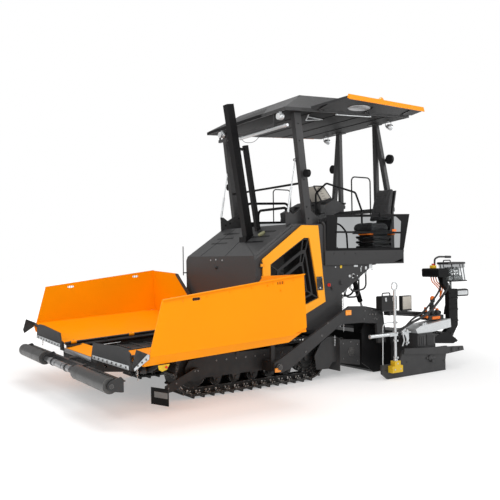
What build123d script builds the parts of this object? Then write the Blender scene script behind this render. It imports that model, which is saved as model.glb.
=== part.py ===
"""Tracked asphalt paver: hopper in front, operator platform with roof, floating screed behind.

Millimetres. +X points forward to the hopper, +Y to the machine's left, +Z up.
The origin is on the ground, on the centreline, midway along the tracks' ground contact.
"""
import math
import os

from build123d import *

# Body
body_half = 920           # to the outside of the side doors
sheet = 20                # hood and housing plate
hood_crown_x = -600       # where the sloping front of the hood becomes level
hood_rear_x = -1090
hood_foot = 660
front_panel_top = hood_foot + 970
hood_top = front_panel_top + 400
door_gap = 5
door_thickness = 20

# Tracks
wheel_x = 830             # idler and sprocket stand this far ahead of and behind the origin
shoe_width = 290
shoe_count = 38
shoe_thickness = 20
grouser_height = 25
shoe_joint = 12           # depth of the gap between two shoes
link_height = 60
link_width = 110
track_outer_radius = 300
roller_radius = 70
roller_places = (-520, -260, 0, 260, 520)
carrier_radius = 40
carrier_places = (-300, 250)
track_plate = 15
running_gap = 0.3

# Main frame
frame_half = 560
track_centre_y = frame_half + 175
frame_plate = 15
frame_foot = 280
frame_rear_x = -1280
tunnel_top = 900
frame_nose_x = 1900
tie_down_x = 1800
tie_down_z = 430
tie_down_radius = 22

# Conveyors
conveyor_front_x = 1690
conveyor_rear_x = -1180
conveyor_axis_z = 430
conveyor_radius = 75
conveyor_belt = 15
slat_height = 15
slat_count = 32
conveyor_inner_y = 25
conveyor_outer_y = 515

# Hopper
hopper_tilt = 2.75        # degrees, the hinge lines fall towards the front
hinge_y = frame_half + 44
hinge_z = 664             # height of the hinge line above X = 0
hinge_radius = 14
knuckle_radius = 22
knuckle_length = 70
knuckle_places = (160, 960, 1740)
wing_sheet = 16
wing_outer_y = 1906
wing_crease_w = 150       # inner fold above the hinge line
wing_rear_u = 12
rubber = 15

# Push beam
pivot_x = 1985
pivot_radius = 20
push_axis_x = 2130
push_axis_z = 410
push_radius = 78
push_inner_y = 600
push_outer_y = 1545
push_shaft_radius = 22
beam_plate = 25

# Operator's platform
deck_z = 1510
deck_sheet = 20
platform_rear_x = -2560
band_top = 1680
screen_top_front = 2160
screen_top_rear = 2200
frame_bar = 35

# Roof
post_half = body_half - 70
post_foot = (-860, hood_top)
roof_half = body_half + 60
roof_front_x = -430
roof_rear_x = -2660
roof_under = hood_top + 1420
roof_pitch = 3.4          # degrees, the roof rises towards the rear
roof_rim = 40
roof_crown = roof_under + 262
roof_wall = 30
crown_insets = (450, 250, 250)
post_head = (-680, roof_under)
post_width = 80
visor_hinge_y = roof_half + 20
visor_hinge_z = roof_under + 25
visor_hinges = (-1000, -1800, -2560)
visor_rise = 12           # degrees above the roof's plane while open
visor_widths = (425, 222)
visor_thickness = 30
lamp_bar_z = roof_under - 160

# Auger
auger_x = -1470
auger_z = 330
auger_radius = 160
auger_shaft_radius = 35
auger_inner_y = 110
auger_outer_y = 990
auger_pitch = 220
flight_thickness = 16

# Screed
tow_x = -200
tow_z = 270
tow_y = body_half + 130
auger_plate_y = tow_y - 90
tow_plate = 40
tow_pin_radius = 25
screed_front_x = -1860
screed_depth = 400
screed_half = tow_y - 120
screed_top = 520
extension_inner_y = screed_half - 380
extension_outer_y = screed_half + 460
extension_top = 540
shelf_z = 868             # top of the bracket beside the tow arm
guide_x = -2420
guide_heights = (170, 320)
guide_radius = 30
guide_reach = screed_half + 70
end_plate_thickness = 30
end_plate_front_x = -1590
end_plate_rear_x = -2815

# Cylinders
barrel_radius = 35
rod_radius = 16
pin_radius = 14
ear_gap = barrel_radius + 3
wing_ram_x = 1350
wing_ram_foot = (hinge_y + 96, -240)
wing_ram_eye = (hinge_y + 700, 0)
lift_ram_y = body_half - 180
lift_ram_head = (-1753, 1290)
lift_ram_eye = (-1950, 740)


def block(x, y, z):
    """A box from its (low, high) pairs."""
    size = [high - low for low, high in (x, y, z)]
    centre = [(high + low) / 2 for low, high in (x, y, z)]
    return Pos(*centre) * Box(*size)


def side_plate(points, y_low, y_high):
    """A side-view outline of (x, z) points, thick along Y."""
    plane = Plane(origin=(0, y_low, 0), x_dir=(1, 0, 0), z_dir=(0, -1, 0))
    return extrude(plane * Polygon(*points, align=None), amount=y_high - y_low, dir=(0, 1, 0))


def cross_plate(points, x_low, x_high):
    """A front-view outline of (y, z) points, thick along X."""
    plane = Plane(origin=(x_low, 0, 0), x_dir=(0, 1, 0), z_dir=(1, 0, 0))
    return extrude(plane * Polygon(*points, align=None), amount=x_high - x_low, dir=(1, 0, 0))


def level_plate(points, z_low, z_high):
    """A plan-view outline of (x, y) points, thick along Z."""
    plane = Plane(origin=(0, 0, z_low))
    return extrude(plane * Polygon(*points, align=None), amount=z_high - z_low, dir=(0, 0, 1))


def rod(start, end, radius):
    """A round bar between two points."""
    start, end = Vector(*start), Vector(*end)
    plane = Plane(origin=start, z_dir=end - start)
    return extrude(plane * Circle(radius), amount=(end - start).length)


def bar(start, end, width, depth, across=(0, 1, 0)):
    """A flat or square bar between two points, its width lying along the given direction."""
    start, end = Vector(*start), Vector(*end)
    plane = Plane(origin=start, x_dir=across, z_dir=end - start)
    return extrude(plane * Rectangle(width, depth), amount=(end - start).length)


def bent_tube(points, radius, bend):
    """A round tube along straight runs with one bend radius."""
    path = FilletPolyline(*points, radius=bend)
    start = Plane(origin=path @ 0, z_dir=path % 0)
    return sweep(start * Circle(radius), path=path)


def mirrored(shape):
    """The same piece on the machine's right."""
    return shape.mirror(Plane.XZ)


def both(shape):
    """A piece and its twin on the other side."""
    return shape + mirrored(shape)


def save(name, shape):
    """Write one node."""
    solids = shape.solids()
    piece = solids[0] if len(solids) == 1 else Compound(children=list(solids))
    export_step(piece, f"parts/{name}.step")


def save_sides(name, shape):
    """Write a left node and its mirror image."""
    save(f"{name}_left", shape)
    save(f"{name}_right", mirrored(shape))


def loop_point(distance, height, half_length, radius):
    """A point on a belt loop, at a distance round its reference line and a height above it."""
    straight = 2 * half_length
    arc = math.pi * radius
    distance %= 2 * (straight + arc)
    reach = radius + height
    if distance < straight:
        return (half_length - distance, -reach)
    distance -= straight
    if distance < arc:
        angle = distance / radius
        return (-half_length - reach * math.sin(angle), -reach * math.cos(angle))
    distance -= arc
    if distance < straight:
        return (-half_length + distance, reach)
    angle = (distance - straight) / radius
    return (half_length + reach * math.sin(angle), reach * math.cos(angle))


def belt_loop(centre_x, centre_z, half_length, radius, count, steps, thickness, y_low, y_high):
    """A closed belt whose repeats are cut into its outline; steps are (share of pitch, height)."""
    pitch = 2 * (2 * half_length + math.pi * radius) / count
    outline = []
    for index in range(count):
        for share, height in steps:
            x, z = loop_point((index + share) * pitch, height, half_length, radius)
            outline.append((centre_x + x, centre_z + z))
    return side_plate(outline, y_low, y_high) - stadium(
        centre_x, centre_z, half_length, radius - thickness, y_low - 1, y_high + 1)


def stadium(centre_x, centre_z, half_length, radius, y_low, y_high):
    """A solid with two parallel sides and two round ends, thick along Y."""
    plane = Plane(origin=(centre_x, y_low, centre_z), x_dir=(1, 0, 0), z_dir=(0, -1, 0))
    return extrude(plane * SlotCenterToCenter(2 * half_length, 2 * radius), amount=y_high - y_low, dir=(0, 1, 0))


def in_hopper(shape):
    """Lay a piece drawn along a level hinge line onto the hopper's sloping one."""
    return Pos(0, 0, hinge_z) * Rot(0, hopper_tilt, 0) * shape


def in_roof(shape):
    """Tilt a piece drawn under a level roof about the roof's front edge."""
    return Pos(roof_front_x, 0, roof_under) * Rot(0, roof_pitch, 0) * Pos(-roof_front_x, 0, -roof_under) * shape


# Tracks: shoes with one grouser each, on a ring of links
os.makedirs("parts", exist_ok=True)
shoe_radius = track_outer_radius - grouser_height
link_radius = shoe_radius - shoe_thickness
chain_radius = link_radius - link_height
shoe_steps = (
    (0.00, -shoe_joint), (0.05, -shoe_joint), (0.05, 0), (0.62, 0), (0.66, grouser_height),
    (0.78, grouser_height), (0.82, 0), (0.999, 0),
)
track_inner_y = track_centre_y - shoe_width / 2
track_outer_y = track_centre_y + shoe_width / 2


def make_track():
    shoes = belt_loop(0, track_outer_radius, wheel_x, shoe_radius, shoe_count, shoe_steps,
                      shoe_thickness, track_inner_y, track_outer_y)
    y_low = track_centre_y - link_width / 2
    y_high = track_centre_y + link_width / 2
    links = stadium(0, track_outer_radius, wheel_x, link_radius + 2, y_low, y_high)
    links -= stadium(0, track_outer_radius, wheel_x, chain_radius, y_low - 1, y_high + 1)
    return shoes + links


roller_z = track_outer_radius - chain_radius + roller_radius + running_gap
carrier_z = track_outer_radius + chain_radius - carrier_radius - running_gap
track_plate_inner = track_centre_y - 95
track_plate_outer = track_centre_y + 80
roller_half_width = 45


def make_track_wheels():
    """Idler, sprocket, bottom rollers and carriers, on axles that end in the side plates."""
    wheel_radius = chain_radius - running_gap
    low = track_centre_y - roller_half_width
    high = track_centre_y + roller_half_width
    inner = track_plate_inner + track_plate
    pieces = []
    idler = rod((wheel_x, low, track_outer_radius), (wheel_x, high, track_outer_radius), wheel_radius)
    idler += rod((wheel_x, inner, track_outer_radius), (wheel_x, track_plate_outer, track_outer_radius), 45)
    pieces.append(idler)
    sprocket = rod((-wheel_x, low, track_outer_radius), (-wheel_x, high, track_outer_radius), wheel_radius)
    sprocket += rod((-wheel_x, inner, track_outer_radius), (-wheel_x, high + 30, track_outer_radius), 110)
    pieces.append(sprocket)
    for places, z, radius, axle in (
        (roller_places, roller_z, roller_radius, 22),
        (carrier_places, carrier_z, carrier_radius, 15),
    ):
        for x in places:
            wheel = rod((x, low, z), (x, high, z), radius)
            wheel += rod((x, inner, z), (x, track_plate_outer, z), axle)
            pieces.append(wheel)
    return pieces


def make_track_frame():
    """Two side plates with lugs for the rollers, a web, cross members and the front deflector."""
    lower, upper = 215, 470
    outline = [(-600, upper), (-600, lower)]
    for x in roller_places:
        outline += [(x - 60, lower), (x - 35, roller_z - 30), (x + 35, roller_z - 30), (x + 60, lower)]
    outline += [(700, lower), (760, track_outer_radius - 110), (900, track_outer_radius - 110),
                (950, track_outer_radius - 50), (950, track_outer_radius + 50), (900, upper - 40)]
    outline += [(620, upper)]
    for x in reversed(carrier_places):
        outline += [(x + 45, upper), (x + 30, carrier_z + 22), (x - 30, carrier_z + 22), (x - 45, upper)]
    outer = side_plate(outline, track_plate_outer, track_plate_outer + track_plate)
    rear = [(-600, lower), (-700, 170), (-960, 170), (-1000, 250), (-1000, 400), (-940, 480), (-600, upper)]
    inner = side_plate(outline, track_plate_inner, track_plate_inner + track_plate)
    inner += side_plate(rear, track_plate_inner, track_plate_inner + track_plate)
    web = block((-560, 560), (track_plate_inner, track_plate_outer + 1), (upper - 160, upper - 145))
    frame = outer + inner + web
    for x in (-430, 430):
        frame += block((x - 60, x + 60), (frame_half, track_plate_inner + 1), (300, 400))
    outer_face = track_plate_outer + track_plate
    boss = rod((wheel_x, outer_face - 1, track_outer_radius), (wheel_x, track_outer_y + 9, track_outer_radius), 50)
    arm = side_plate([(780, 290), (800, 345), (870, 345), (1240, 190), (1240, 110), (1150, 120)],
                     track_outer_y + 8, track_outer_y + 22)
    inner_y, outer_y = track_outer_y + 100, track_outer_y + 335
    deflector = level_plate([(1440, inner_y), (1350, outer_y), (1361, outer_y + 4), (1451, inner_y + 4)], 45, 225)
    deflector += level_plate([(1200, track_outer_y + 9), (1200, track_outer_y + 21), (1436, inner_y + 20),
                              (1445, inner_y + 2)], 130, 170)
    tow = block((tow_x - 75, tow_x + 75), (outer_face - 1, tow_y - tow_plate / 2 - 5), (tow_z - 55, tow_z + 75))
    tow += block((tow_x + 20, tow_x + 73), (tow_y - tow_plate - 25, tow_y - tow_plate + 10), (tow_z + 74, tow_z + 275))
    tow += rod((tow_x, tow_y - tow_plate, tow_z), (tow_x, tow_y + tow_plate / 2 + 14, tow_z), tow_pin_radius)
    return frame + boss + arm + deflector + tow


track = make_track()
save_sides("track", track)
track_wheels = make_track_wheels()
save("track_wheels", Compound(children=[wheel.solid() for wheel in track_wheels]
                              + [mirrored(wheel).solid() for wheel in track_wheels]))
save("track_frames", both(make_track_frame()))


# Main frame: two long plates with the conveyor tunnel between them
def make_main_frame():
    inside = frame_half - frame_plate
    plate = side_plate(
        [(frame_rear_x, frame_foot), (1000, frame_foot), (frame_nose_x, 380), (frame_nose_x, 490),
         (0, 595), (0, tunnel_top), (frame_rear_x, tunnel_top)], inside, frame_half)
    frame = both(plate)
    frame += block((frame_rear_x, 1000), (-frame_half, frame_half), (frame_foot, frame_foot + frame_plate))
    frame += block((frame_rear_x, -sheet), (-frame_half, frame_half), (tunnel_top - frame_plate, tunnel_top))
    deck_under = conveyor_axis_z + conveyor_radius - conveyor_belt
    frame += block((-1130, 1570), (-frame_half, frame_half), (deck_under - 25, deck_under - 13))
    nose = block((frame_nose_x - 60, frame_nose_x + 15), (-frame_half, frame_half), (340, 490))
    frame += nose
    for z in (335, 470):
        frame += level_plate([(frame_nose_x, -70), (pivot_x + 35, -35), (pivot_x + 35, 35),
                              (frame_nose_x, 70)], z, z + frame_plate)
    frame += rod((pivot_x, 0, 336), (pivot_x, 0, 484), pivot_radius)
    frame -= rod((tie_down_x, -frame_half - 1, tie_down_z), (tie_down_x, frame_half + 1, tie_down_z), tie_down_radius)
    fender_outer = body_half - door_thickness - door_gap - sheet
    fender = block((hood_rear_x, 0), (frame_half - 1, fender_outer), (hood_foot - frame_plate, hood_foot))
    frame += both(fender)
    ram_foot_y, ram_foot_z = wing_ram_foot
    for x in (wing_ram_x - ear_gap - frame_plate, wing_ram_x + ear_gap):
        ears = cross_plate([(frame_half - 1, ram_foot_z - 60), (frame_half - 1, ram_foot_z + 70),
                            (ram_foot_y, ram_foot_z + 35), (ram_foot_y + 35, ram_foot_z),
                            (ram_foot_y + 20, ram_foot_z - 35)], x, x + frame_plate)
        frame += both(in_hopper(ears))
    return frame


save("main_frame", make_main_frame())


# Conveyors: two slatted belts on common shafts
def make_conveyors():
    half_length = (conveyor_front_x - conveyor_rear_x) / 2
    centre_x = (conveyor_front_x + conveyor_rear_x) / 2
    steps = ((0.0, 0), (0.40, 0), (0.42, slat_height), (0.58, slat_height), (0.60, 0), (0.99, 0))
    belt = belt_loop(centre_x, conveyor_axis_z, half_length, conveyor_radius, slat_count, steps,
                     conveyor_belt, conveyor_inner_y, conveyor_outer_y)
    conveyors = both(belt)
    reach = frame_half - frame_plate
    for x in (conveyor_front_x, conveyor_rear_x):
        conveyors += rod((x, -reach, conveyor_axis_z), (x, reach, conveyor_axis_z),
                         conveyor_radius - conveyor_belt + 1)
    return conveyors


save("conveyors", make_conveyors())


# Hopper: fixed rails that carry the wings' hinge rods, and the front apron
def make_hopper_frame():
    rail = block((30, 1880), (conveyor_outer_y - 20, frame_half + 10), (-40, -28))
    rail += block((30, 1880), (frame_half, frame_half + 12), (-75, -28))
    hinge = rod((30, hinge_y, 0), (1880, hinge_y, 0), hinge_radius)
    for u in (60, 560, 1360, 1860):
        hinge += block((u - 20, u + 20), (frame_half, hinge_y), (-20, hinge_radius - 6))
        hinge += block((u - 20, u + 20), (frame_half, frame_half + 12), (-30, -19))
    frame = both(in_hopper(rail + hinge))
    apron = side_plate([(1640, 545), (1660, 557), (1922, 514), (1917, 500)], -frame_half + 1, frame_half - 1)
    lip = block((frame_nose_x + 15, frame_nose_x + 28), (-440, 440), (490, 532))
    return frame + apron + lip


save("hopper_frame", make_hopper_frame())


def make_wing():
    """Left hopper wing: sloping floor, outer wall, sill below it, rear wall and hinge knuckles."""
    crease_v = wing_outer_y - wing_sheet
    front_u = 1880
    floor = cross_plate([(hinge_y + 24, 0), (crease_v + 4, wing_crease_w), (crease_v + 4, wing_crease_w - 20),
                         (hinge_y + 24, -wing_sheet)], wing_rear_u, front_u)
    wall = side_plate([(wing_rear_u, 764), (1712, 650), (front_u, 128), (217, 117), (wing_rear_u, 177)],
                      crease_v, wing_outer_y)
    lip = side_plate([(wing_rear_u, 764), (1712, 650), (1711, 640), (wing_rear_u, 752)],
                     wing_outer_y - 1, wing_outer_y + 22)
    sill = cross_plate([(wing_outer_y, 130), (wing_outer_y - 66, 36), (wing_outer_y - 140, 36),
                        (wing_outer_y - 140, 48), (wing_outer_y - 74, 48), (wing_outer_y - 18, 130)],
                       217, front_u + 30)
    rear = cross_plate([(crease_v + 1, 758), (1110, 724), (765, 440), (hinge_y + 34, 20),
                        (hinge_y + 34, -10), (crease_v + 1, 140)], wing_rear_u, wing_rear_u + wing_sheet)
    wing = floor + wall + lip + sill + rear
    for u in (217, 1000, front_u - 12):
        wing += cross_plate([(1000, 30), (1780, 40), (1850, 60), (crease_v, 140)], u, u + 12)
    for u in knuckle_places:
        knuckle = rod((u, hinge_y, 0), (u + knuckle_length, hinge_y, 0), knuckle_radius)
        knuckle += block((u, u + knuckle_length), (hinge_y, hinge_y + 30), (-wing_sheet, 0))
        knuckle -= rod((u - 1, hinge_y, 0), (u + knuckle_length + 1, hinge_y, 0), hinge_radius + running_gap)
        wing += knuckle
    slot = Plane(origin=(0, crease_v - 1, 0), x_dir=(1, 0, 0), z_dir=(0, -1, 0))
    for u, w in ((330, 690), (1350, 620)):
        hole = extrude(slot * Pos(u, w) * SlotOverall(95, 30), amount=wing_sheet + 2, dir=(0, 1, 0))
        wing -= hole
    eye_y, eye_z = wing_ram_eye
    for x in (wing_ram_x - 34, wing_ram_x + 22):
        wing += cross_plate([(eye_y - 60, eye_z + 64), (eye_y + 60, eye_z + 78), (eye_y + 26, eye_z - 26),
                             (eye_y - 26, eye_z - 26)], x, x + 12)
    return in_hopper(wing)


wing = make_wing()
save_sides("hopper_wing", wing)


def make_flap():
    """Rubber flap across the wing's front, on a lip that continues the floor."""
    front_x = 1935
    flap = cross_plate([(520, 528), (590, 705), (1300, 745), (1500, 742), (1600, 705), (1630, 545)],
                       front_x, front_x + rubber)
    carrier = cross_plate([(700, 8), (1600, 115), (1600, 97), (700, -10)], 1880, 1937)
    carrier += cross_plate([(1599, 115), (wing_outer_y + 1, 152), (wing_outer_y + 1, 134), (1599, 97)], 1880, 1920)
    corner = side_plate([(2017, 787), (1887, 727), (1893, 685), (2043, 591), (2059, 640)],
                        wing_outer_y, wing_outer_y + rubber)
    return flap + corner + in_hopper(carrier)


save_sides("front_flap", make_flap())


# Push beam: swings about its centre pin and carries two rollers
def make_push_beam():
    rear_x = pivot_x + 22
    beam = block((rear_x, rear_x + 38), (-push_outer_y - 30, push_outer_y + 30), (365, 462))
    beam += block((pivot_x - 30, rear_x + 1), (-45, 45), (355, 465))
    beam -= rod((pivot_x, 0, 350), (pivot_x, 0, 470), pivot_radius + running_gap)
    flange = block((rear_x - 20, rear_x + 1), (75, push_outer_y + 30), (440, 452))
    beam += both(flange)
    outline = [(rear_x - 2, 340), (rear_x - 2, 462), (rear_x + 20, 488),
               (push_axis_x, 460), (push_axis_x + 35, 425), (push_axis_x + 35, 390), (push_axis_x, 360),
               (rear_x + 20, 340)]
    outer = side_plate(outline, push_outer_y + 6, push_outer_y + 6 + beam_plate)
    inner = side_plate(outline, push_inner_y - 6 - beam_plate, push_inner_y - 6)
    ends = outer + inner
    shaft_reach = push_inner_y - 50
    beam += rod((push_axis_x, -shaft_reach, push_axis_z), (push_axis_x, shaft_reach, push_axis_z), 30)
    for y in (-400, 400):
        beam += side_plate([(rear_x + 37, 378), (push_axis_x, 375), (push_axis_x, 445), (rear_x + 37, 448)], y - 6, y + 6)
    for y in (-250, 250):
        beam += rod((push_axis_x, y - 15, push_axis_z), (push_axis_x, y + 15, push_axis_z), 45)
    bore = push_shaft_radius + running_gap
    ends -= rod((push_axis_x, push_inner_y - 50, push_axis_z), (push_axis_x, push_outer_y + 50, push_axis_z), bore)
    return beam + both(ends)


def make_push_roller():
    roller = rod((push_axis_x, push_inner_y, push_axis_z), (push_axis_x, push_outer_y, push_axis_z), push_radius)
    reach = beam_plate + 12
    roller += rod((push_axis_x, push_inner_y - reach, push_axis_z),
                  (push_axis_x, push_outer_y + reach, push_axis_z), push_shaft_radius)
    return roller


save("push_beam", make_push_beam())
save_sides("push_roller", make_push_roller())


# Hood: bent sheet over the engine, open below, with a doorway in each side
side_wall_outer = body_half - door_thickness - door_gap
door_outline = [(-95, front_panel_top - 48), (-714, hood_top - 18), (-981, hood_top - 18), (-1085, 1015),
                (-735, 865), (-95, 865)]
doorway = [(-140, front_panel_top - 75), (-725, hood_top - 65), (-945, hood_top - 65), (-1040, 1040),
           (-730, 915), (-140, 915)]
door_hinge_x = -80
door_hinge_y = body_half - 8
door_hinge_heights = (950, 1480)
door_hinge_length = 62
door_leaf = 12
door_knuckle = 12
door_pin = 7
door_window = [(-209, 1518), (-742, 1850), (-830, 1850), (-974, 1067), (-740, 985), (-209, 985)]


def make_hood():
    outline = [(0, hood_foot), (0, front_panel_top), (hood_crown_x, hood_top), (hood_rear_x, hood_top),
               (hood_rear_x, hood_foot)]
    inset = [(-sheet, hood_foot - 1), (-sheet, front_panel_top - 14), (hood_crown_x - 6, hood_top - sheet),
             (hood_rear_x + sheet, hood_top - sheet), (hood_rear_x + sheet, hood_foot - 1)]
    shell = side_plate(outline, -side_wall_outer, side_wall_outer)
    slopes = shell.edges().filter_by(lambda e: abs(e.center().Y) > side_wall_outer - 1
                                     and abs(e.center().X - hood_crown_x / 2) < 5)
    shell = chamfer(slopes, 45)
    inner_half = side_wall_outer - sheet
    shell -= side_plate(inset, -inner_half, inner_half)
    shell -= side_plate(doorway, -body_half, body_half)
    shell -= block((hood_rear_x - 1, 1), (-frame_half, frame_half), (hood_foot - 1, tunnel_top))
    slope = math.degrees(math.atan2(hood_top - front_panel_top, -hood_crown_x))
    for y_low, y_high in ((-620, -200), (260, 680)):
        for share in (0.45, 0.62, 0.79):
            x = share * hood_crown_x
            z = front_panel_top - (hood_top - front_panel_top) * x / -hood_crown_x
            vent = Box(26, y_high - y_low, 120)
            shell -= Pos(x, (y_low + y_high) / 2, z) * Rot(0, slope, 0) * vent
    for low in door_hinge_heights:
        high = low + door_hinge_length
        hinge = rod((door_hinge_x, door_hinge_y, low), (door_hinge_x, door_hinge_y, high), door_pin)
        for z in (low, high - door_leaf):
            hinge += rod((door_hinge_x, door_hinge_y, z), (door_hinge_x, door_hinge_y, z + door_leaf), door_knuckle)
            hinge += block((door_hinge_x, door_hinge_x + 22), (side_wall_outer - 1, door_hinge_y), (z, z + door_leaf))
        shell += both(hinge)
    return shell


save("hood", make_hood())
save("engine_block", side_plate([(-180, tunnel_top), (-180, 1540), (-320, 1620), (-880, 1620), (-880, tunnel_top)],
                                -290, 290))


def make_door():
    """Left side door: a thick frame round a large window."""
    y_low = body_half - door_thickness
    door = side_plate(door_outline, y_low, body_half)
    door -= side_plate(door_window, y_low - 1, body_half + 1)
    door -= block((-1035, -960), (body_half - 8, body_half + 1), (1190, 1330))
    for z in door_hinge_heights:
        low, high = z + door_leaf + 2, z + door_hinge_length - door_leaf - 2
        knuckle = rod((door_hinge_x, door_hinge_y, low), (door_hinge_x, door_hinge_y, high), door_knuckle)
        knuckle += block((door_outline[0][0] - 2, door_hinge_x - 8), (door_hinge_y - 8, door_hinge_y + 8),
                         (low, high))
        knuckle -= rod((door_hinge_x, door_hinge_y, z), (door_hinge_x, door_hinge_y, z + door_hinge_length),
                       door_pin + running_gap)
        door += knuckle
    return door


def inner_outline(points, share, centre):
    """The outline drawn smaller about a centre."""
    return [(centre[0] + (x - centre[0]) * share, centre[1] + (z - centre[1]) * share) for x, z in points]


def make_grille():
    """Nested bars behind the door's window, standing on a dished backing plate."""
    focus = (-640, 1250)
    y_high = body_half - door_thickness
    low = y_high - 18
    grille = None
    for outer, inner in ((1.06, 0.96), (0.74, 0.66), (0.48, 0.40)):
        ring = side_plate(inner_outline(door_window, outer, focus), low, y_high)
        ring -= side_plate(inner_outline(door_window, inner, focus), low - 1, y_high + 1)
        grille = ring if grille is None else grille + ring
    for corner in door_window:
        tip = inner_outline([corner], 1.0, focus)[0]
        start = inner_outline([corner], 0.42, focus)[0]
        grille += bar((start[0], low + 9, start[1]), (tip[0], low + 9, tip[1]), 18, 16)
    return grille


save_sides("side_door", make_door())
save_sides("door_grille", make_grille())


# Rear housing under the platform: a tank box open to the deck that covers it
def make_rear_housing():
    under = [(hood_rear_x, tunnel_top), (-1108, 969), (-1425, 1125), (-1910, 1435), (-1950, deck_z - deck_sheet),
             (hood_rear_x, deck_z - deck_sheet)]
    inner = [(hood_rear_x - sheet, tunnel_top + 60), (-1120, 1000), (-1430, 1152), (-1890, 1452),
             (-1915, deck_z), (hood_rear_x - sheet, deck_z)]
    housing = side_plate(under, -side_wall_outer, side_wall_outer)
    housing -= side_plate(inner, -side_wall_outer + sheet, side_wall_outer - sheet)
    x, z = lift_ram_head
    for y in (lift_ram_y - ear_gap - frame_plate, lift_ram_y + ear_gap):
        ear = side_plate([(x + 80, z - 5), (x - 67, z + 90), (x - 45, z - 20), (x - 18, z - 36), (x + 18, z - 36)],
                         y, y + frame_plate)
        housing += both(ear)
    skirt = side_plate([(hood_rear_x, 700), (hood_rear_x, 970), (-1108, 979), (-1393, 1119), (-1399, 706)],
                       side_wall_outer - sheet, side_wall_outer)
    hoses = bent_tube([(-1790, side_wall_outer - 95, 1365), (-1790, side_wall_outer - 95, 1041),
                       (-1523, side_wall_outer - 95, 1041), (-1523, side_wall_outer - 95, 1195)], 12, 90)
    hoses += bent_tube([(-1895, side_wall_outer - 65, 1430), (-1895, side_wall_outer - 65, 1150),
                        (-1600, side_wall_outer - 65, 1110), (-1600, side_wall_outer - 65, 1245)], 12, 80)
    return housing + both(skirt + hoses)


save("rear_housing", make_rear_housing())


def make_platform():
    low = deck_z - deck_sheet
    deck = block((platform_rear_x, hood_rear_x), (-body_half + 1, body_half - 1), (low, deck_z))
    band = side_plate([(hood_rear_x - 2, low), (hood_rear_x - 2, band_top), (platform_rear_x - 7, band_top),
                       (platform_rear_x + 16, 1563), (-2294, low)], body_half - sheet, body_half)
    rear = block((platform_rear_x, platform_rear_x + sheet), (330, body_half - 1), (low, band_top))
    rib = side_plate([(-1960, low + 1), (-2480, low + 1), (-2480, low - 20), (-1960, low - 60)], 420, 440)
    platform = deck + both(band + rear + rib)
    return platform


save("platform", make_platform())


def make_screen():
    """Wind screen frame above the platform's side band, with a rail across it."""
    outer = [(-1250, band_top), (-1280, screen_top_front), (-2690, screen_top_rear), (-2560, band_top)]
    inner = [(-1250 - frame_bar, band_top + frame_bar), (-1280 - frame_bar, screen_top_front - frame_bar),
             (-2690 + 1.3 * frame_bar, screen_top_rear - frame_bar), (-2560 + frame_bar, band_top + frame_bar)]
    y_low, y_high = body_half - sheet, body_half
    frame = side_plate(outer, y_low, y_high) - side_plate(inner, y_low - 1, y_high + 1)
    pane = side_plate(inner, y_low + 7, y_low + 13)
    frame += block((-2610, -1280), (y_high - 1, y_high + 9), (1915, 1940))
    middle = (y_low + y_high) / 2
    hoop_foot, hoop_top = screen_top_front - 10, screen_top_front + 520
    frame += bent_tube([(-1585, middle, hoop_foot), (-1585, middle, hoop_top), (-1930, middle, hoop_top),
                        (-1930, middle, hoop_foot)], 9, 60)
    return frame, pane


screen, pane = make_screen()
save("side_screens", both(screen))
save("screen_panes", both(pane))


def make_handrails():
    radius, bend = 19, 90
    side = body_half - 160
    far_rail = bent_tube([(-960, -side, hood_top), (-960, -side, hood_top + 390), (-1780, -side, hood_top + 420),
                          (-1780, -side, deck_z)], radius, bend)
    front_rail = bent_tube([(-1050, -560, hood_top), (-1050, -560, hood_top + 270), (-1050, 100, hood_top + 270),
                            (-1050, 260, hood_top + 200), (-1050, 260, hood_top)], radius, bend - 10)
    seat_rail_y = seat_y - 230
    seat_rail = bent_tube([(-1335, seat_rail_y, deck_z), (-1335, seat_rail_y, deck_z + 970),
                           (-1530, seat_rail_y, deck_z + 1126), (-2080, seat_rail_y, deck_z + 1018),
                           (-2200, seat_rail_y, deck_z + 757), (-2200, seat_rail_y, deck_z)], 14, 60)
    return far_rail + front_rail + seat_rail


# Seats: one each side, on a bellows base
seat_x = -2200
seat_y = body_half - 240

save("handrails", make_handrails())


def make_seat_base():
    base = block((seat_x - 190, seat_x + 190), (seat_y - 190, seat_y + 190), (deck_z, deck_z + 60))
    for step in range(5):
        z = deck_z + 60 + step * 70
        base += block((seat_x - 170, seat_x + 170), (seat_y - 170, seat_y + 170), (z - 1, z + 36))
        base += block((seat_x - 140, seat_x + 140), (seat_y - 140, seat_y + 140), (z + 35, z + 71))
    base += block((seat_x - 220, seat_x + 220), (seat_y - 200, seat_y + 200), (1919, 1945))
    base += side_plate([(seat_x - 178, 1944), (seat_x - 205, 1944), (seat_x - 329, 2540), (seat_x - 309, 2540)],
                       seat_y - 150, seat_y + 150)
    return base


def make_seat_pads():
    cushion = block((seat_x - 150, seat_x + 250), (seat_y - 205, seat_y + 205), (1945.3, 2060))
    cushion = fillet(cushion.edges(), 35)
    back = side_plate([(seat_x - 178, 2075), (seat_x - 205, 2075 + 1), (seat_x - 320, 2590), (seat_x - 235, 2590),
                       (seat_x - 110, 2090)], seat_y - 205, seat_y + 205)
    return cushion, back


save("seat_bases", both(make_seat_base()))
cushion, seat_back = make_seat_pads()
save("seat_pads", both(cushion + seat_back))


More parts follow.
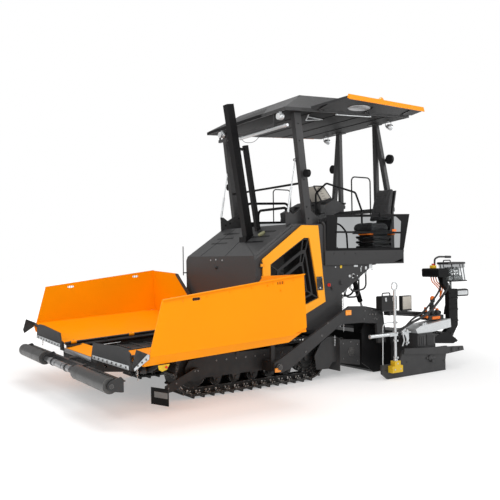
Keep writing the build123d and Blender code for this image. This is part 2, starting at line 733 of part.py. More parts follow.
def make_console():
    """Control desk between the seats and the hood, with a tilted panel."""
    column = block((-1640, -1440), (-140, 140), (deck_z, 2180))
    desk = side_plate([(-1380, 2120), (-1360, 2260), (-1700, 2420), (-1900, 2330), (-1900, 2290), (-1640, 2180)],
                      -430, 430)
    panel = side_plate([(-1560, 2352), (-1660, 2600), (-1690, 2590), (-1640, 2391)], -130, 170)
    display = side_plate([(-1335, 2589), (-1501, 2596), (-1653, 2430), (-1469, 2381)], 200, 410)
    display += block((-1540, -1500), (290, 320), (2310, 2420))
    return column + desk + panel + display


save("console", make_console())


def make_exhaust():
    """Leaning stack on the hood, with the strut behind it."""
    lean = (0.16, 1.0)
    foot = (-360, 200, hood_top - 160)
    head = (foot[0] + lean[0] * 1760, 200, foot[2] + 1760)
    stack = bar(foot, head, 105, 105)
    base = block((-450, -270), (120, 280), (hood_top - 235, hood_top - 150))
    strut_foot = (-520, 200, hood_top - 70)
    strut_head = (strut_foot[0] + 0.16 * 1150, 200, strut_foot[2] + 1150)
    strut = bar(strut_foot, strut_head, 60, 60)
    link = bar((strut_head[0], 200, strut_head[2] - 60), (strut_head[0] + 120, 200, strut_head[2] - 50), 40, 30)
    hood_cut = side_plate([(200, front_panel_top - 133.3), (0, front_panel_top), (hood_crown_x, hood_top),
                           (hood_rear_x, hood_top), (hood_rear_x, hood_foot), (200, hood_foot)], 0, 400)
    return stack + base + strut + link - hood_cut


save("exhaust_stack", make_exhaust())


# Roof on leaning front posts and a rear frame
def roof_space():
    """Everything above the roof's tilted underside, for trimming the posts."""
    return in_roof(block((-3200, 400), (-1500, 1500), (roof_under, roof_under + 800)))


strut_foot = (-561, hood_top + 157)
strut_head = (-686, hood_top + 832)


def make_front_posts():
    post = bar((post_foot[0], post_half, post_foot[1]), (post_head[0], post_half, post_head[1] + 100), post_width, 105)
    post -= block((-1200, -400), (post_half - 150, post_half + 150), (hood_top - 200, hood_top))
    post -= roof_space()
    inner_face = post_half - post_width / 2
    plate = side_plate([(-545, hood_top - 36.5), (-538, hood_top + 175), (-585, hood_top + 175), (-660, hood_top + 125),
                        (-873, hood_top + 246), (-1077, hood_top + 90), (-1077, hood_top), (-600, hood_top)],
                       inner_face - 12, inner_face + 1)
    head_x, head_z = strut_head
    lug = side_plate([(head_x - 26, head_z - 22), (head_x + 10, head_z - 12), (head_x + 10, head_z + 13),
                      (head_x - 26, head_z + 23)], inner_face - 5, inner_face + 6)
    return post + plate + lug


def make_gas_strut():
    """Gas strut from the bracket plate to the post."""
    y = post_half - post_width / 2 + 20
    foot = Vector(strut_foot[0], y, strut_foot[1])
    head = Vector(strut_head[0], y, strut_head[1])
    waist = foot + (head - foot) * 0.47
    strut = rod(foot, waist, 14) + rod(foot + (head - foot) * 0.4, head, 7)
    for point, reach in ((foot, 19), (head, 14)):
        strut += rod((point.X, y - reach, point.Z), (point.X, y + 12, point.Z), 9)
    return strut


save("front_posts", both(make_front_posts()))
save("gas_struts", both(make_gas_strut()))

mirror_z = 3025
mirror_seat_y = 560


def make_rear_posts():
    leg = bar((-2595, 640, 1560), (-2595, 640, 2300), 70, 70)
    leg += bar((-2605, 640, 2270), (-2545, 400, roof_under + 200), 70, 60)
    inner = bar((-2560, 400, 2290), (-2545, 400, roof_under + 200), 60, 60)
    seat = block((-2612, -2588), (480, mirror_seat_y), (mirror_z - 12, mirror_z + 12))
    beam = block((-2650, -2530), (-675, 675), (2250, 2310))
    posts = both(leg + inner + seat) + beam
    posts -= block((-2800, -2300), (-1000, 1000), (deck_z - 200, deck_z))
    posts -= roof_space()
    pad = in_roof(block((-2640, -2450), (340, 460), (roof_under - 14, roof_under)))
    return posts + both(pad)


save("rear_posts", make_rear_posts())


def frustum(low, high, z_low, z_high):
    """The roof's tapering body: a loft between two rectangles, each inset at its front, sides and rear."""
    faces = []
    for (front, side, rear), z in ((low, z_low), (high, z_high)):
        length = roof_front_x - front - roof_rear_x - rear
        centre_x = (roof_front_x - front + roof_rear_x + rear) / 2
        faces.append(Pos(centre_x, 0, z) * Rectangle(length, 2 * roof_half - 2 * side))
    return loft(faces)


def make_roof():
    rim_top = roof_under + roof_rim
    rim, wall = (0, 0, 0), (roof_wall, roof_wall, roof_wall)
    inner_crown = tuple(inset + 10 for inset in crown_insets)
    roof = frustum(rim, rim, roof_under, rim_top) + frustum(rim, crown_insets, rim_top, roof_crown)
    roof -= frustum(wall, wall, roof_under - 1, rim_top - 10)
    roof -= frustum(wall, inner_crown, rim_top - 11, roof_crown - 25)
    for x in (-700, -1600, -2545):
        roof += block((x - 40, x + 40), (-roof_half + 1, roof_half - 1), (roof_under, rim_top))
    for y in (-400, 400, -post_half, post_half):
        roof += block((roof_rear_x + 1, roof_front_x - 1), (y - 35, y + 35), (roof_under, rim_top))
    roof += block((roof_front_x - 60, roof_front_x - 20), (-700, 700), (lamp_bar_z, lamp_bar_z + 40))
    for y in (-680, 680):
        roof += block((roof_front_x - 50, roof_front_x - 30), (y - 10, y + 10), (lamp_bar_z + 39, roof_under + 2))
    for x in visor_hinges:
        hinge = block((x - 30, x + 30), (roof_half - 1, visor_hinge_y), (visor_hinge_z - 12, visor_hinge_z + 12))
        pin = rod((x - 60, visor_hinge_y, visor_hinge_z), (x + 60, visor_hinge_y, visor_hinge_z), 9)
        roof += both(hinge + pin)
    return in_roof(roof)


save("roof_panel", make_roof())


def make_lamps():
    """Light tube under the lamp bar, lamps under the roof's rim, and the round mirrors."""
    x, z = roof_front_x - 40, lamp_bar_z - 24
    lamps = rod((x, -145, z), (x, roof_half - 24, z), 20)
    for y in (-80, 500):
        lamps += block((x - 12, x + 12), (y - 12, y + 12), (z + 10, lamp_bar_z))
    for y in (-577, 857):
        z = roof_under - 62
        lamps += rod((roof_front_x - 40, y, z), (roof_front_x + 25, y, z), 42)
        lamps += block((roof_front_x - 28, roof_front_x - 4), (y - 10, y + 10), (z, roof_under))
    return in_roof(lamps)


def make_mirror():
    """A round mirror on the front post and another on the rear post."""
    side = post_half + post_width / 2
    share = (2679 - hood_top) / (post_head[1] - hood_top)
    x = post_foot[0] + share * (post_head[0] - post_foot[0])
    mirror = rod((x - 35, side + 58, 2679), (x + 15, side + 58, 2679), 50)
    mirror += block((x - 20, x), (side, side + 20), (2669, 2689))
    mirror += rod((-2625, mirror_seat_y + 72, mirror_z), (-2585, mirror_seat_y + 72, mirror_z), 70)
    mirror += block((-2612, -2588), (mirror_seat_y, mirror_seat_y + 30), (mirror_z - 12, mirror_z + 12))
    return mirror


save("lamps", make_lamps())
save("mirrors", both(make_mirror()))


def make_visor():
    """Left roof flap, drawn level along its hinge line and then raised."""
    start = 40
    wide, narrow = visor_widths
    front, rear = (-1100, wide), (-2700, narrow)
    visor = level_plate([(-800, start), front, rear, (roof_rear_x + 20, start)],
                        -visor_thickness / 2, visor_thickness / 2)
    visor += level_plate([front, rear, (rear[0], rear[1] + 12), (front[0], front[1] + 12)], -32, 32)
    for x in visor_hinges:
        for offset in (34, -54):
            ear = block((x + offset, x + offset + 20), (-12, start + 20), (-12, 12))
            ear -= rod((x + offset - 1, 0, 0), (x + offset + 21, 0, 0), 9 + running_gap)
            visor += ear
    return in_roof(Pos(0, visor_hinge_y, visor_hinge_z) * Rot(visor_rise, 0, 0) * visor)


save_sides("roof_visor", make_visor())


# Augers: shaft with a helical flight, opposite hands left and right
def make_auger():
    """Left auger: a shaft with one flight swept along a helix."""
    length = auger_outer_y - auger_inner_y
    shaft = rod((0, 0, 0), (0, 0, length), auger_shaft_radius)
    turns = int((length - 60) / auger_pitch)
    flight = None
    segments = 12
    for index in range(turns * segments):
        lower = index * auger_pitch / segments
        angle = 360.0 * index / segments
        blade = Pos(0, 0, 40 + lower) * Rot(0, 0, angle) * auger_blade(360.0 / segments)
        flight = blade if flight is None else flight + blade
    auger = shaft + flight
    return Pos(auger_x, auger_inner_y, auger_z) * Rot(-90, 0, 0) * auger


def auger_blade(span):
    """One flat sector of the flight, tilted to the helix."""
    half = math.radians(span / 2 * 1.06)
    tip = auger_radius / math.cos(half)
    sector = Polygon((auger_shaft_radius - 6, -4), (tip * math.cos(half), -tip * math.sin(half)),
                     (tip * math.cos(half), tip * math.sin(half)), (auger_shaft_radius - 6, 4), align=None)
    tilt = math.degrees(math.atan2(auger_pitch, 2 * math.pi * auger_radius * 0.75))
    return Rot(tilt, 0, 0) * extrude(Pos(0, 0, -flight_thickness / 2) * sector, amount=flight_thickness)


save_sides("auger", make_auger())


def make_auger_frame():
    """Front wall and side plates of the auger channel, and the centre drive that holds both shafts."""
    wall_x = frame_rear_x + 10
    wall = cross_plate([(-auger_plate_y, 90), (-auger_plate_y, 520), (-frame_half, 560), (-frame_half, frame_foot),
                        (frame_half, frame_foot), (frame_half, 560), (auger_plate_y, 520), (auger_plate_y, 90)],
                       wall_x - 15, wall_x)
    side = side_plate([(wall_x, 510), (-1625, 476), (-1618, 138), (wall_x, 198)], auger_plate_y - 1,
                      auger_plate_y + 15)
    side -= rod((auger_x, auger_plate_y - 2, auger_z), (auger_x, auger_plate_y + 16, auger_z),
                auger_shaft_radius + running_gap)
    skirt = side_plate([(-1120, 550), (wall_x, 540), (wall_x, 210), (-1190, 210), (-1120, 130), (-920, 140),
                        (-890, 320), (-1000, 480)], track_outer_y + 20, track_outer_y + 32)
    drive = side_plate([(-1530, 260), (-1410, 260), (-1405, 600), (-1300, 720), (-1180, tunnel_top - frame_plate),
                        (-1270, tunnel_top - frame_plate), (-1330, 760), (-1500, 640), (-1530, 560)], -55, 55)
    drive += rod((auger_x, -auger_inner_y + running_gap, auger_z), (auger_x, auger_inner_y - running_gap, auger_z), 55)
    return wall + both(side + skirt) + drive


save("auger_frame", make_auger_frame())


# Cylinders: barrel and rod lie along one line at rest
def make_ram(foot, eye, barrel_length, stem_length):
    """Barrel and rod along +Z from the foot pin to the eye pin."""
    length = math.dist(foot, eye)
    reach = ear_gap - running_gap
    barrel = rod((0, 0, 10), (0, 0, barrel_length), barrel_radius)
    barrel += rod((-reach, 0, 0), (reach, 0, 0), 30)
    barrel -= rod((0, 0, 60), (0, 0, barrel_length + 1), rod_radius + running_gap)
    stem = rod((0, 0, length - stem_length), (0, 0, length - 10), rod_radius)
    stem += rod((-20, 0, length), (20, 0, length), 26)
    return barrel, stem


def make_wing_ram():
    foot, eye = wing_ram_foot, wing_ram_eye
    angle = math.degrees(math.atan2(eye[0] - foot[0], eye[1] - foot[1]))
    barrel, stem = make_ram(foot, eye, 440, 540)
    place = Pos(wing_ram_x, foot[0], foot[1]) * Rot(-angle, 0, 0)
    return in_hopper(place * barrel), in_hopper(place * stem)


wing_barrel, wing_stem = make_wing_ram()
save_sides("wing_ram_barrel", wing_barrel)
save_sides("wing_ram_rod", wing_stem)


def make_lift_ram():
    head, eye = lift_ram_head, lift_ram_eye
    angle = math.degrees(math.atan2(eye[0] - head[0], eye[1] - head[1]))
    barrel, stem = make_ram(head, eye, 345, 300)
    place = Pos(head[0], lift_ram_y, head[1]) * Rot(0, angle, 0) * Rot(0, 0, 90)
    return place * barrel, place * stem


lift_barrel, lift_stem = make_lift_ram()
save("lift_ram_barrels", both(lift_barrel))
save("lift_ram_rods", both(lift_stem))


# Screed: towed by two arms, with extensions that slide out behind the main screed
def make_tow_arm():
    y_low, y_high = tow_y - tow_plate / 2, tow_y + tow_plate / 2
    arm = side_plate([(tow_x - 30, tow_z - 75), (tow_x + 60, tow_z - 40), (tow_x + 60, tow_z + 60),
                      (tow_x - 60, tow_z + 110), (-1370, 945), (-1650, 931), (-1970, 866), (-1996, 675),
                      (-2020, 420), (-1880, 420), (-1850, 687), (-1581, 716), (-1216, 720),
                      (-390, tow_z - 30)], y_low, y_high)
    arm -= rod((tow_x, y_low - 1, tow_z), (tow_x, y_high + 1, tow_z), tow_pin_radius + running_gap)
    rail_y = y_high + 90
    arm += block((-2120, -1850), (y_high - 1, rail_y + 20), (shelf_z - 18, shelf_z))
    arm += block((-2010, -1990), (y_high - 1, rail_y + 20), (shelf_z - 78, shelf_z - 1))
    for drop in (14, 60):
        arm += rod((-2000, rail_y, shelf_z - drop), (-2660, rail_y, shelf_z - drop - 68), 13)
    arm += block((-2430, -2230), (rail_y - 40, rail_y + 20), (shelf_z - 34, shelf_z - 22))
    return arm


def make_tool_boxes():
    """Tool box and smaller electric box beside the left tow arm."""
    y_high = tow_y + tow_plate / 2 + 110
    tools = block((-2130, -1845), (y_high - 108, y_high), (shelf_z, shelf_z + 187))
    tools = chamfer(tools.edges().filter_by(Axis.Y), 12)
    handle = bent_tube([(-2060, y_high - 60, shelf_z + 180), (-2060, y_high - 60, shelf_z + 225),
                        (-1915, y_high - 60, shelf_z + 225), (-1915, y_high - 60, shelf_z + 180)], 8, 20)
    electric = block((-2420, -2235), (y_high - 60, y_high), (shelf_z - 22, shelf_z + 176))
    return tools + handle + electric


def make_screed_body():
    rear = screed_front_x - screed_depth
    section = [(screed_front_x, 40), (screed_front_x, 330), (screed_front_x - 60, screed_top),
               (rear + 40, screed_top), (rear, 330), (rear, 0), (screed_front_x - 60, 0)]
    body = side_plate(section, -screed_half, screed_half)
    body += block((rear - 200, rear + 1), (-60, 60), (120, 380))
    cheek = side_plate([(-1690, 600), (-1740, 685), (-2120, 655), (-2140, 600), (-2140, 60), (-1836, 60),
                        (-1690, 150)], screed_half - 1, screed_half + 15)
    body += both(cheek)
    for z in guide_heights:
        body += rod((guide_x, -guide_reach, z), (guide_x, guide_reach, z), guide_radius)
    reach = tow_y - tow_plate / 2
    body += block((-2000, -1880), (screed_half - 1, reach), (430, 500))
    body += block((-2000, -1880), (-reach, -screed_half + 1), (430, 500))
    for y in (-600, 600):
        body += block((-1990, -1900), (y - 40, y + 40), (screed_top - 1, 620))
    body += block((-1990, -1900), (-reach, reach), (610, 680))
    return body


lift_eye_x, lift_eye_z = lift_ram_eye
screed_main = make_screed_body()
for eye_y in (lift_ram_y - 34, lift_ram_y + 22):
    lug = side_plate([(lift_eye_x - 40, 675), (lift_eye_x - 24, lift_eye_z + 24), (lift_eye_x + 24, lift_eye_z + 24),
                      (lift_eye_x + 40, 675)], eye_y, eye_y + 12)
    screed_main += both(lug)
save("screed_body", screed_main)
save("tow_arms", both(make_tow_arm()))
save("tool_boxes", make_tool_boxes())


def make_extension():
    """Left screed extension behind the main screed, on two guide tubes."""
    front = screed_front_x - screed_depth - 10
    rear = front - 380
    section = [(front, 40), (front, 380), (front - 40, extension_top), (rear + 60, extension_top), (rear, 380),
               (rear, 0), (front - 50, 0)]
    body = side_plate(section, extension_inner_y, extension_outer_y)
    for z in guide_heights:
        body -= rod((guide_x, extension_inner_y - 1, z), (guide_x, extension_outer_y - 30, z),
                    guide_radius + running_gap)
    return body


def make_end_plate():
    y_low = extension_outer_y
    y_high = y_low + end_plate_thickness
    plate = side_plate([(end_plate_front_x, 190), (end_plate_front_x, 76), (end_plate_front_x - 100, 0),
                        (end_plate_rear_x, 0), (end_plate_rear_x, 150), (-2860, 330), (-1980, 340),
                        (-1900, 190)], y_low, y_high)
    rail = side_plate([(-1975, 300), (-1990, 372), (-3170, 305), (-3190, 245), (-2830, 225)], y_high - 1, y_high + 20)
    return plate + rail


foot_x = -1795


def make_edge_foot():
    """Yellow foot at the front of the end plate, with the socket for the pole."""
    y_low = extension_outer_y + end_plate_thickness
    foot = block((foot_x - 92, foot_x + 95), (y_low, y_low + 80), (88, 175))
    foot += block((foot_x - 50, foot_x + 50), (y_low, y_low + 80), (174, 237))
    return foot


def make_fittings():
    """Galvanised pole with its ring, side tube with clamp, and the step on the extension."""
    y = extension_outer_y + end_plate_thickness + 40
    fittings = rod((foot_x, y, 237), (foot_x, y, 1160), 18)
    fittings += Pos(foot_x, y, 1205) * Rot(90, 0, 0) * Torus(50, 9)
    fittings += rod((-1350, y, 582), (-1690, y, 582), 22)
    fittings += block((foot_x - 25, -1680), (y - 25, y + 25), (560, 605))
    y = extension_outer_y
    return fittings + side_plate([(-2310, extension_top), (-2275, extension_top + 60), (-2370, 636), (-2988, 699), (-2996, 580),
                       (-2590, extension_top)], y - 240, y - 10)


def make_control():
    """Walkway behind the extension, with the screed operator's control box on its column."""
    y = extension_outer_y
    rear = screed_front_x - screed_depth - 390
    cheek = [(rear, 380), (rear, 450), (-2761, 500), (-2933, 500), (-3130, 374), (-3038, 345), (-2800, 366)]
    control = side_plate(cheek, extension_inner_y + 10, extension_inner_y + 22)
    control += side_plate(cheek, y - 22, y - 10)
    for outline in ([(-2761, 499), (-2933, 499), (-2933, 512), (-2761, 512)],
                    [(-2933, 499), (-3130, 373), (-3138, 380), (-2933, 512)],
                    [(rear, 390), (rear, 402), (-2800, 382), (-2800, 370)]):
        control += side_plate(outline, extension_inner_y + 10, y - 10)
    column = side_plate([(-2900, 500), (-3002, 572), (-3002, 1080), (-2880, 1200), (-2880, 1292), (-2925, 1292),
                         (-3060, 1112), (-3190, 1112), (-3190, 592), (-3060, 430)], y - 115, y - 45)
    lamp = block((-3430, -3189), (y - 110, y - 50), (1006, 1092))
    box = block((-2931, -2717), (y - 280, y + 20), (1290, 1411))
    box = chamfer(box.edges().filter_by(Axis.Y), 18)
    return control + column + lamp + box


save_sides("screed_extension", make_extension())
save_sides("end_plate", make_end_plate())
save_sides("edge_foot", make_edge_foot())
save_sides("screed_fittings", make_fittings())
save_sides("screed_control", make_control())
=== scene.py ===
"""Looks of the tracked asphalt paver: the finish of every part, and the small pieces on the frame.

Metres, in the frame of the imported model: +X forward to the hopper, +Y to the machine's left, +Z up.
"""
import math

import bmesh
import bpy
from mathutils import Matrix, Vector


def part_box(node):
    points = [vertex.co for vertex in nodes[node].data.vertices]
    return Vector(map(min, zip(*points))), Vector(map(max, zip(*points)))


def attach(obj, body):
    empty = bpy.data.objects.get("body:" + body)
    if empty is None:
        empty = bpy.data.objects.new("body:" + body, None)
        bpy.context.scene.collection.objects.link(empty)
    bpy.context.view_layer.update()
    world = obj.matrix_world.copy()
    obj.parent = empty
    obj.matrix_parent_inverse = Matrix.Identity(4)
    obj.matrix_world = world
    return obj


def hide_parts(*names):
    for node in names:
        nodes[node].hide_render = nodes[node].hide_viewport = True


bl_info = {
    "name": "Tracked Paver Looks",
    "version": (1, 0, 0),
    "blender": (4, 5, 0),
    "location": "3D View > Sidebar > Paver",
    "description": "Finishes, fittings and soft parts of a tracked asphalt paver",
    "category": "Object",
}

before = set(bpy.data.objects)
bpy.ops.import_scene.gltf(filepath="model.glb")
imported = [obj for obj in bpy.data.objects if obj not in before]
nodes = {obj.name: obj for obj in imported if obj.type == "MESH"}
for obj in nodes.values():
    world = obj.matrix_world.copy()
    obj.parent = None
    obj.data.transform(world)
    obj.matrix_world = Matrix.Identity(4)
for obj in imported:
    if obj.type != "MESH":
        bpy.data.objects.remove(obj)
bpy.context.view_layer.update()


# Settings that a user would change

def colour_setting(name, description, default):
    """A colour of the finishes or of the stage."""
    return bpy.props.FloatVectorProperty(
        name=name, description=description, subtype="COLOR", size=3, min=0, max=1, default=default)


class PaintSettings(bpy.types.PropertyGroup):
    """Colours of the machine's finishes."""
    yellow: colour_setting("Machine yellow", "Hopper wings and roof flaps", (0.9, 0.29, 0.0))
    door_yellow: colour_setting("Door yellow", "Side doors", (0.93, 0.38, 0.02))
    charcoal: colour_setting("Charcoal", "Hood, housing, arms and screed", (0.034, 0.034, 0.035))
    black: colour_setting("Black", "Tubes, screens and beams", (0.008, 0.008, 0.0085))
    dust: colour_setting("Dust", "Film on upward and low surfaces", (0.16, 0.155, 0.15))
    wear: bpy.props.FloatProperty(
        name="Wear", description="Share of the edges rubbed down to metal", subtype="FACTOR",
        min=0, max=1, default=0.2)


class StageSettings(bpy.types.PropertyGroup):
    """Camera and studio."""
    camera_place: bpy.props.FloatVectorProperty(
        name="Camera place", description="Where the camera stands", subtype="TRANSLATION",
        unit="LENGTH", size=3, default=(4.41, 7.42, 1.632))
    bearing: bpy.props.FloatProperty(
        name="Bearing", description="Direction of the camera's place seen from the machine",
        subtype="ANGLE", unit="ROTATION", default=math.radians(56.4))
    tilt: bpy.props.FloatProperty(
        name="Tilt", description="Upward tilt of the view", subtype="ANGLE", unit="ROTATION",
        default=math.radians(0.5))
    roll: bpy.props.FloatProperty(
        name="Roll", description="Turn of the picture about the view", subtype="ANGLE",
        unit="ROTATION", default=math.radians(-0.9))
    lens: bpy.props.FloatProperty(
        name="Lens", description="Focal length in millimetres on a 36 mm sensor",
        subtype="DISTANCE_CAMERA", min=1, default=46.44)
    floor: colour_setting("Floor", "Colour of the studio floor", (0.66, 0.66, 0.66))
    glow: bpy.props.FloatProperty(
        name="Glow", description="Light that the floor gives off near the machine",
        min=0, default=0.55)
    sky: bpy.props.FloatProperty(
        name="Sky", description="Strength of the even light all round", min=0, default=0.5)


# Shader maths

class Field:
    """A number socket of a finish; arithmetic on it adds Math nodes."""

    def __init__(self, finish, socket):
        self.finish = finish
        self.socket = socket

    def _math(self, operation, first, second):
        return self.finish.node("ShaderNodeMath", {"operation": operation}, {0: first, 1: second})

    def __add__(self, other):
        return self._math("ADD", self, other)

    def __radd__(self, other):
        return self._math("ADD", other, self)

    def __sub__(self, other):
        return self._math("SUBTRACT", self, other)

    def __rsub__(self, other):
        return self._math("SUBTRACT", other, self)

    def __mul__(self, other):
        return self._math("MULTIPLY", self, other)

    def __rmul__(self, other):
        return self._math("MULTIPLY", other, self)

    def between(self, low, high):
        """0 below low, 1 above high, smooth in between."""
        return self.finish.node(
            "ShaderNodeMapRange", {"interpolation_type": "SMOOTHSTEP"},
            {"Value": self, "From Min": low, "From Max": high})


class Finish:
    """One material: a Principled shader and the nodes that vary it over the surface."""

    def __init__(self, name, **constants):
        self.material = bpy.data.materials.new(name)
        self.material.use_nodes = True
        self.tree = self.material.node_tree
        self.tree.nodes.clear()
        self.shader = self.tree.nodes.new("ShaderNodeBsdfPrincipled")
        output = self.tree.nodes.new("ShaderNodeOutputMaterial")
        self.tree.links.new(self.shader.outputs["BSDF"], output.inputs["Surface"])
        for socket, value in constants.items():
            self.shader.inputs[socket.replace("_", " ")].default_value = value

    def node(self, kind, settings, inputs, output=0):
        """Add a node: its settings first, then the values or links of its sockets."""
        made = self.tree.nodes.new(kind)
        for name, value in settings.items():
            setattr(made, name, value)
        for name, value in inputs.items():
            self._feed(made.inputs[name], value)
        return Field(self, made.outputs[output])

    def _feed(self, socket, value):
        if isinstance(value, Field):
            self.tree.links.new(value.socket, socket)
        else:
            socket.default_value = value

    def drive(self, socket, field):
        """Link a varying value to one of the shader's own sockets."""
        self._feed(self.shader.inputs[socket], field)

    def place(self):
        """Position on the part itself, which stays put when the part moves."""
        return self.node("ShaderNodeTexCoord", {}, {}, "Object")

    def stretched(self, scale):
        """The position, scaled differently along each axis."""
        return self.node("ShaderNodeVectorMath", {"operation": "MULTIPLY"},
                         {0: self.place(), 1: scale})

    def along(self, axis):
        """One coordinate of the position."""
        return self.node("ShaderNodeSeparateXYZ", {}, {"Vector": self.place()}, axis)

    def facing(self, axis):
        """How far the surface faces along an axis of the part, from -1 to 1."""
        normal = self.node("ShaderNodeTexCoord", {}, {}, "Normal")
        return self.node("ShaderNodeSeparateXYZ", {}, {"Vector": normal}, axis)

    def noise(self, scale, detail=3.0, roughness=0.55, vector=None):
        """Cloudy noise about 0.5."""
        inputs = {"Vector": vector or self.place(), "Scale": scale, "Detail": detail,
                  "Roughness": roughness}
        return self.node("ShaderNodeTexNoise", {}, inputs, "Fac")

    def cells(self, scale):
        """Distance to the middle of irregular cells."""
        return self.node("ShaderNodeTexVoronoi", {}, {"Vector": self.place(), "Scale": scale},
                         "Distance")

    def blend(self, share, first, second):
        """Mix two colours."""
        made = self.tree.nodes.new("ShaderNodeMix")
        made.data_type = "RGBA"
        self._feed(made.inputs[0], share)
        self._feed(made.inputs[6], first)
        self._feed(made.inputs[7], second)
        return Field(self, made.outputs[2])

    def edges(self, radius):
        """1 on corners, 0 on flats: the rounded normal set against the true one."""
        rounded = self.node("ShaderNodeBevel", {"samples": 4}, {"Radius": radius})
        true = self.node("ShaderNodeNewGeometry", {}, {}, "True Normal")
        dot = self.node("ShaderNodeVectorMath", {"operation": "DOT_PRODUCT"}, {0: rounded, 1: true},
                        "Value")
        return (1 - dot).between(0.02, 0.22)

    def relief(self, height, distance):
        """Turn a height field into the surface's normal."""
        self.drive("Normal", self.node("ShaderNodeBump", {}, {
            "Height": height, "Distance": distance, "Strength": 1.0}))


def rgba(colour, factor=1.0):
    """A colour with full alpha, scaled in brightness."""
    return tuple(min(1.0, part * factor) for part in colour[:3]) + (1.0,)


# Finishes

def paint(name, colour, settings, gloss=0.32, dust_share=0.3, shine=0.25):
    """Sprayed enamel: faint clouds and orange peel, dust on top and low down, edges rubbed bare."""
    finish = Finish(name, Coat_Weight=shine / 4, Coat_Roughness=0.15, Specular_IOR_Level=shine)
    cloud = finish.noise(1.7, 4)
    fine = finish.noise(34, 5)
    upward = finish.facing("Z").between(0.35, 0.95)
    low = 1 - finish.along("Z").between(0.1, 0.9)
    dust = (upward * 0.55 + low * 0.65) * finish.noise(5, 6, 0.62).between(0.36, 0.72) * dust_share
    rubbed = finish.edges(0.004) * finish.noise(11, 6, 0.65).between(0.52, 0.66) * settings.wear
    base = finish.blend(cloud, rgba(colour, 0.93), rgba(colour, 1.06))
    dusty = finish.blend(dust, base, rgba(settings.dust))
    finish.drive("Base Color", finish.blend(rubbed, dusty, (0.24, 0.23, 0.22, 1)))
    finish.drive("Roughness", gloss + (fine - 0.5) * 0.16 + dust * 0.5)
    finish.drive("Metallic", rubbed * 0.8)
    finish.relief(finish.noise(620, 2) + fine * 0.3, 0.0004)
    return finish.material


def track_steel():
    """Cast steel of shoes, links and rollers: dark with cloudy grime, bright where it rubs."""
    finish = Finish("track steel")
    grime = finish.noise(14, 7, 0.66).between(0.42, 0.68)
    bright = finish.edges(0.008) * finish.noise(26, 5).between(0.38, 0.62)
    dark = finish.blend(grime, (0.012, 0.012, 0.012, 1), (0.036, 0.035, 0.034, 1))
    finish.drive("Base Color", finish.blend(bright, dark, (0.42, 0.41, 0.4, 1)))
    finish.drive("Metallic", 0.35 + bright * 0.6)
    finish.drive("Roughness", 0.62 - bright * 0.3)
    finish.relief(finish.noise(160, 5), 0.0012)
    return finish.material


def steel():
    """Rollers, augers and pins: grey steel with fine scratches along Y and rubbed edges."""
    finish = Finish("rolled steel")
    scratches = finish.noise(60, 6, 0.7, finish.stretched((9.0, 0.5, 9.0)))
    stain = finish.noise(6, 5).between(0.4, 0.7)
    bright = finish.edges(0.006)
    base = finish.blend(scratches, (0.045, 0.045, 0.046, 1), (0.16, 0.158, 0.155, 1))
    stained = finish.blend(stain * 0.5, base, (0.04, 0.036, 0.033, 1))
    finish.drive("Base Color", finish.blend(bright * 0.6, stained, (0.45, 0.44, 0.43, 1)))
    finish.drive("Metallic", 0.9 - stain * 0.35)
    finish.drive("Roughness", 0.3 + scratches * 0.2 + stain * 0.12)
    finish.relief(scratches, 0.0005)
    return finish.material


def bright_steel():
    """Pins and bolts of the track, polished by the ground."""
    finish = Finish("bright steel")
    grime = finish.noise(40, 4).between(0.45, 0.6)
    finish.drive("Base Color", finish.blend(grime, (0.66, 0.65, 0.63, 1), (0.16, 0.14, 0.12, 1)))
    finish.drive("Metallic", 0.95 - grime * 0.5)
    finish.drive("Roughness", 0.25 + grime * 0.3)
    return finish.material


def brushed_alloy():
    """Brushed aluminium with long fine lines."""
    finish = Finish("brushed alloy")
    lines = finish.noise(40, 5, 0.7, finish.stretched((0.6, 12.0, 12.0)))
    finish.drive("Base Color", finish.blend(lines, (0.18, 0.18, 0.185, 1), (0.5, 0.5, 0.51, 1)))
    finish.drive("Metallic", 0.85 + lines * 0.1)
    finish.drive("Roughness", 0.24 + lines * 0.2)
    finish.relief(lines, 0.0003)
    return finish.material


def galvanised():
    """Zinc-coated steel with its spangle."""
    finish = Finish("galvanised")
    spangle = finish.cells(95)
    patch = finish.noise(9, 4)
    base = finish.blend(spangle, (0.52, 0.54, 0.55, 1), (0.72, 0.74, 0.75, 1))
    finish.drive("Base Color", finish.blend(patch * 0.3, base, (0.4, 0.41, 0.42, 1)))
    finish.drive("Metallic", 0.72 + patch * 0.1)
    finish.drive("Roughness", 0.34 + spangle * 0.16)
    finish.relief(finish.noise(210, 3), 0.0004)
    return finish.material


def chrome():
    """Hard chrome of piston rods, with an oily film."""
    finish = Finish("chrome rod", Metallic=1.0)
    film = finish.noise(22, 4).between(0.4, 0.7)
    finish.drive("Base Color", finish.blend(film, (0.78, 0.79, 0.8, 1), (0.6, 0.59, 0.56, 1)))
    finish.drive("Roughness", 0.1 + film * 0.14)
    return finish.material


def rubber():
    """Black rubber sheet and hose: matt, slightly bloomed, with scuffs."""
    finish = Finish("rubber", Specular_IOR_Level=0.35)
    bloom = finish.noise(8, 6, 0.6).between(0.4, 0.75)
    scuff = finish.noise(90, 6, 0.7, finish.stretched((1.0, 5.0, 0.6))).between(0.6, 0.74)
    base = finish.blend(bloom, (0.018, 0.018, 0.019, 1), (0.05, 0.049, 0.048, 1))
    finish.drive("Base Color", finish.blend(scuff * 0.5, base, (0.11, 0.11, 0.11, 1)))
    finish.drive("Roughness", 0.6 + bloom * 0.22)
    finish.relief(finish.noise(330, 4) + scuff * 0.4, 0.0006)
    return finish.material


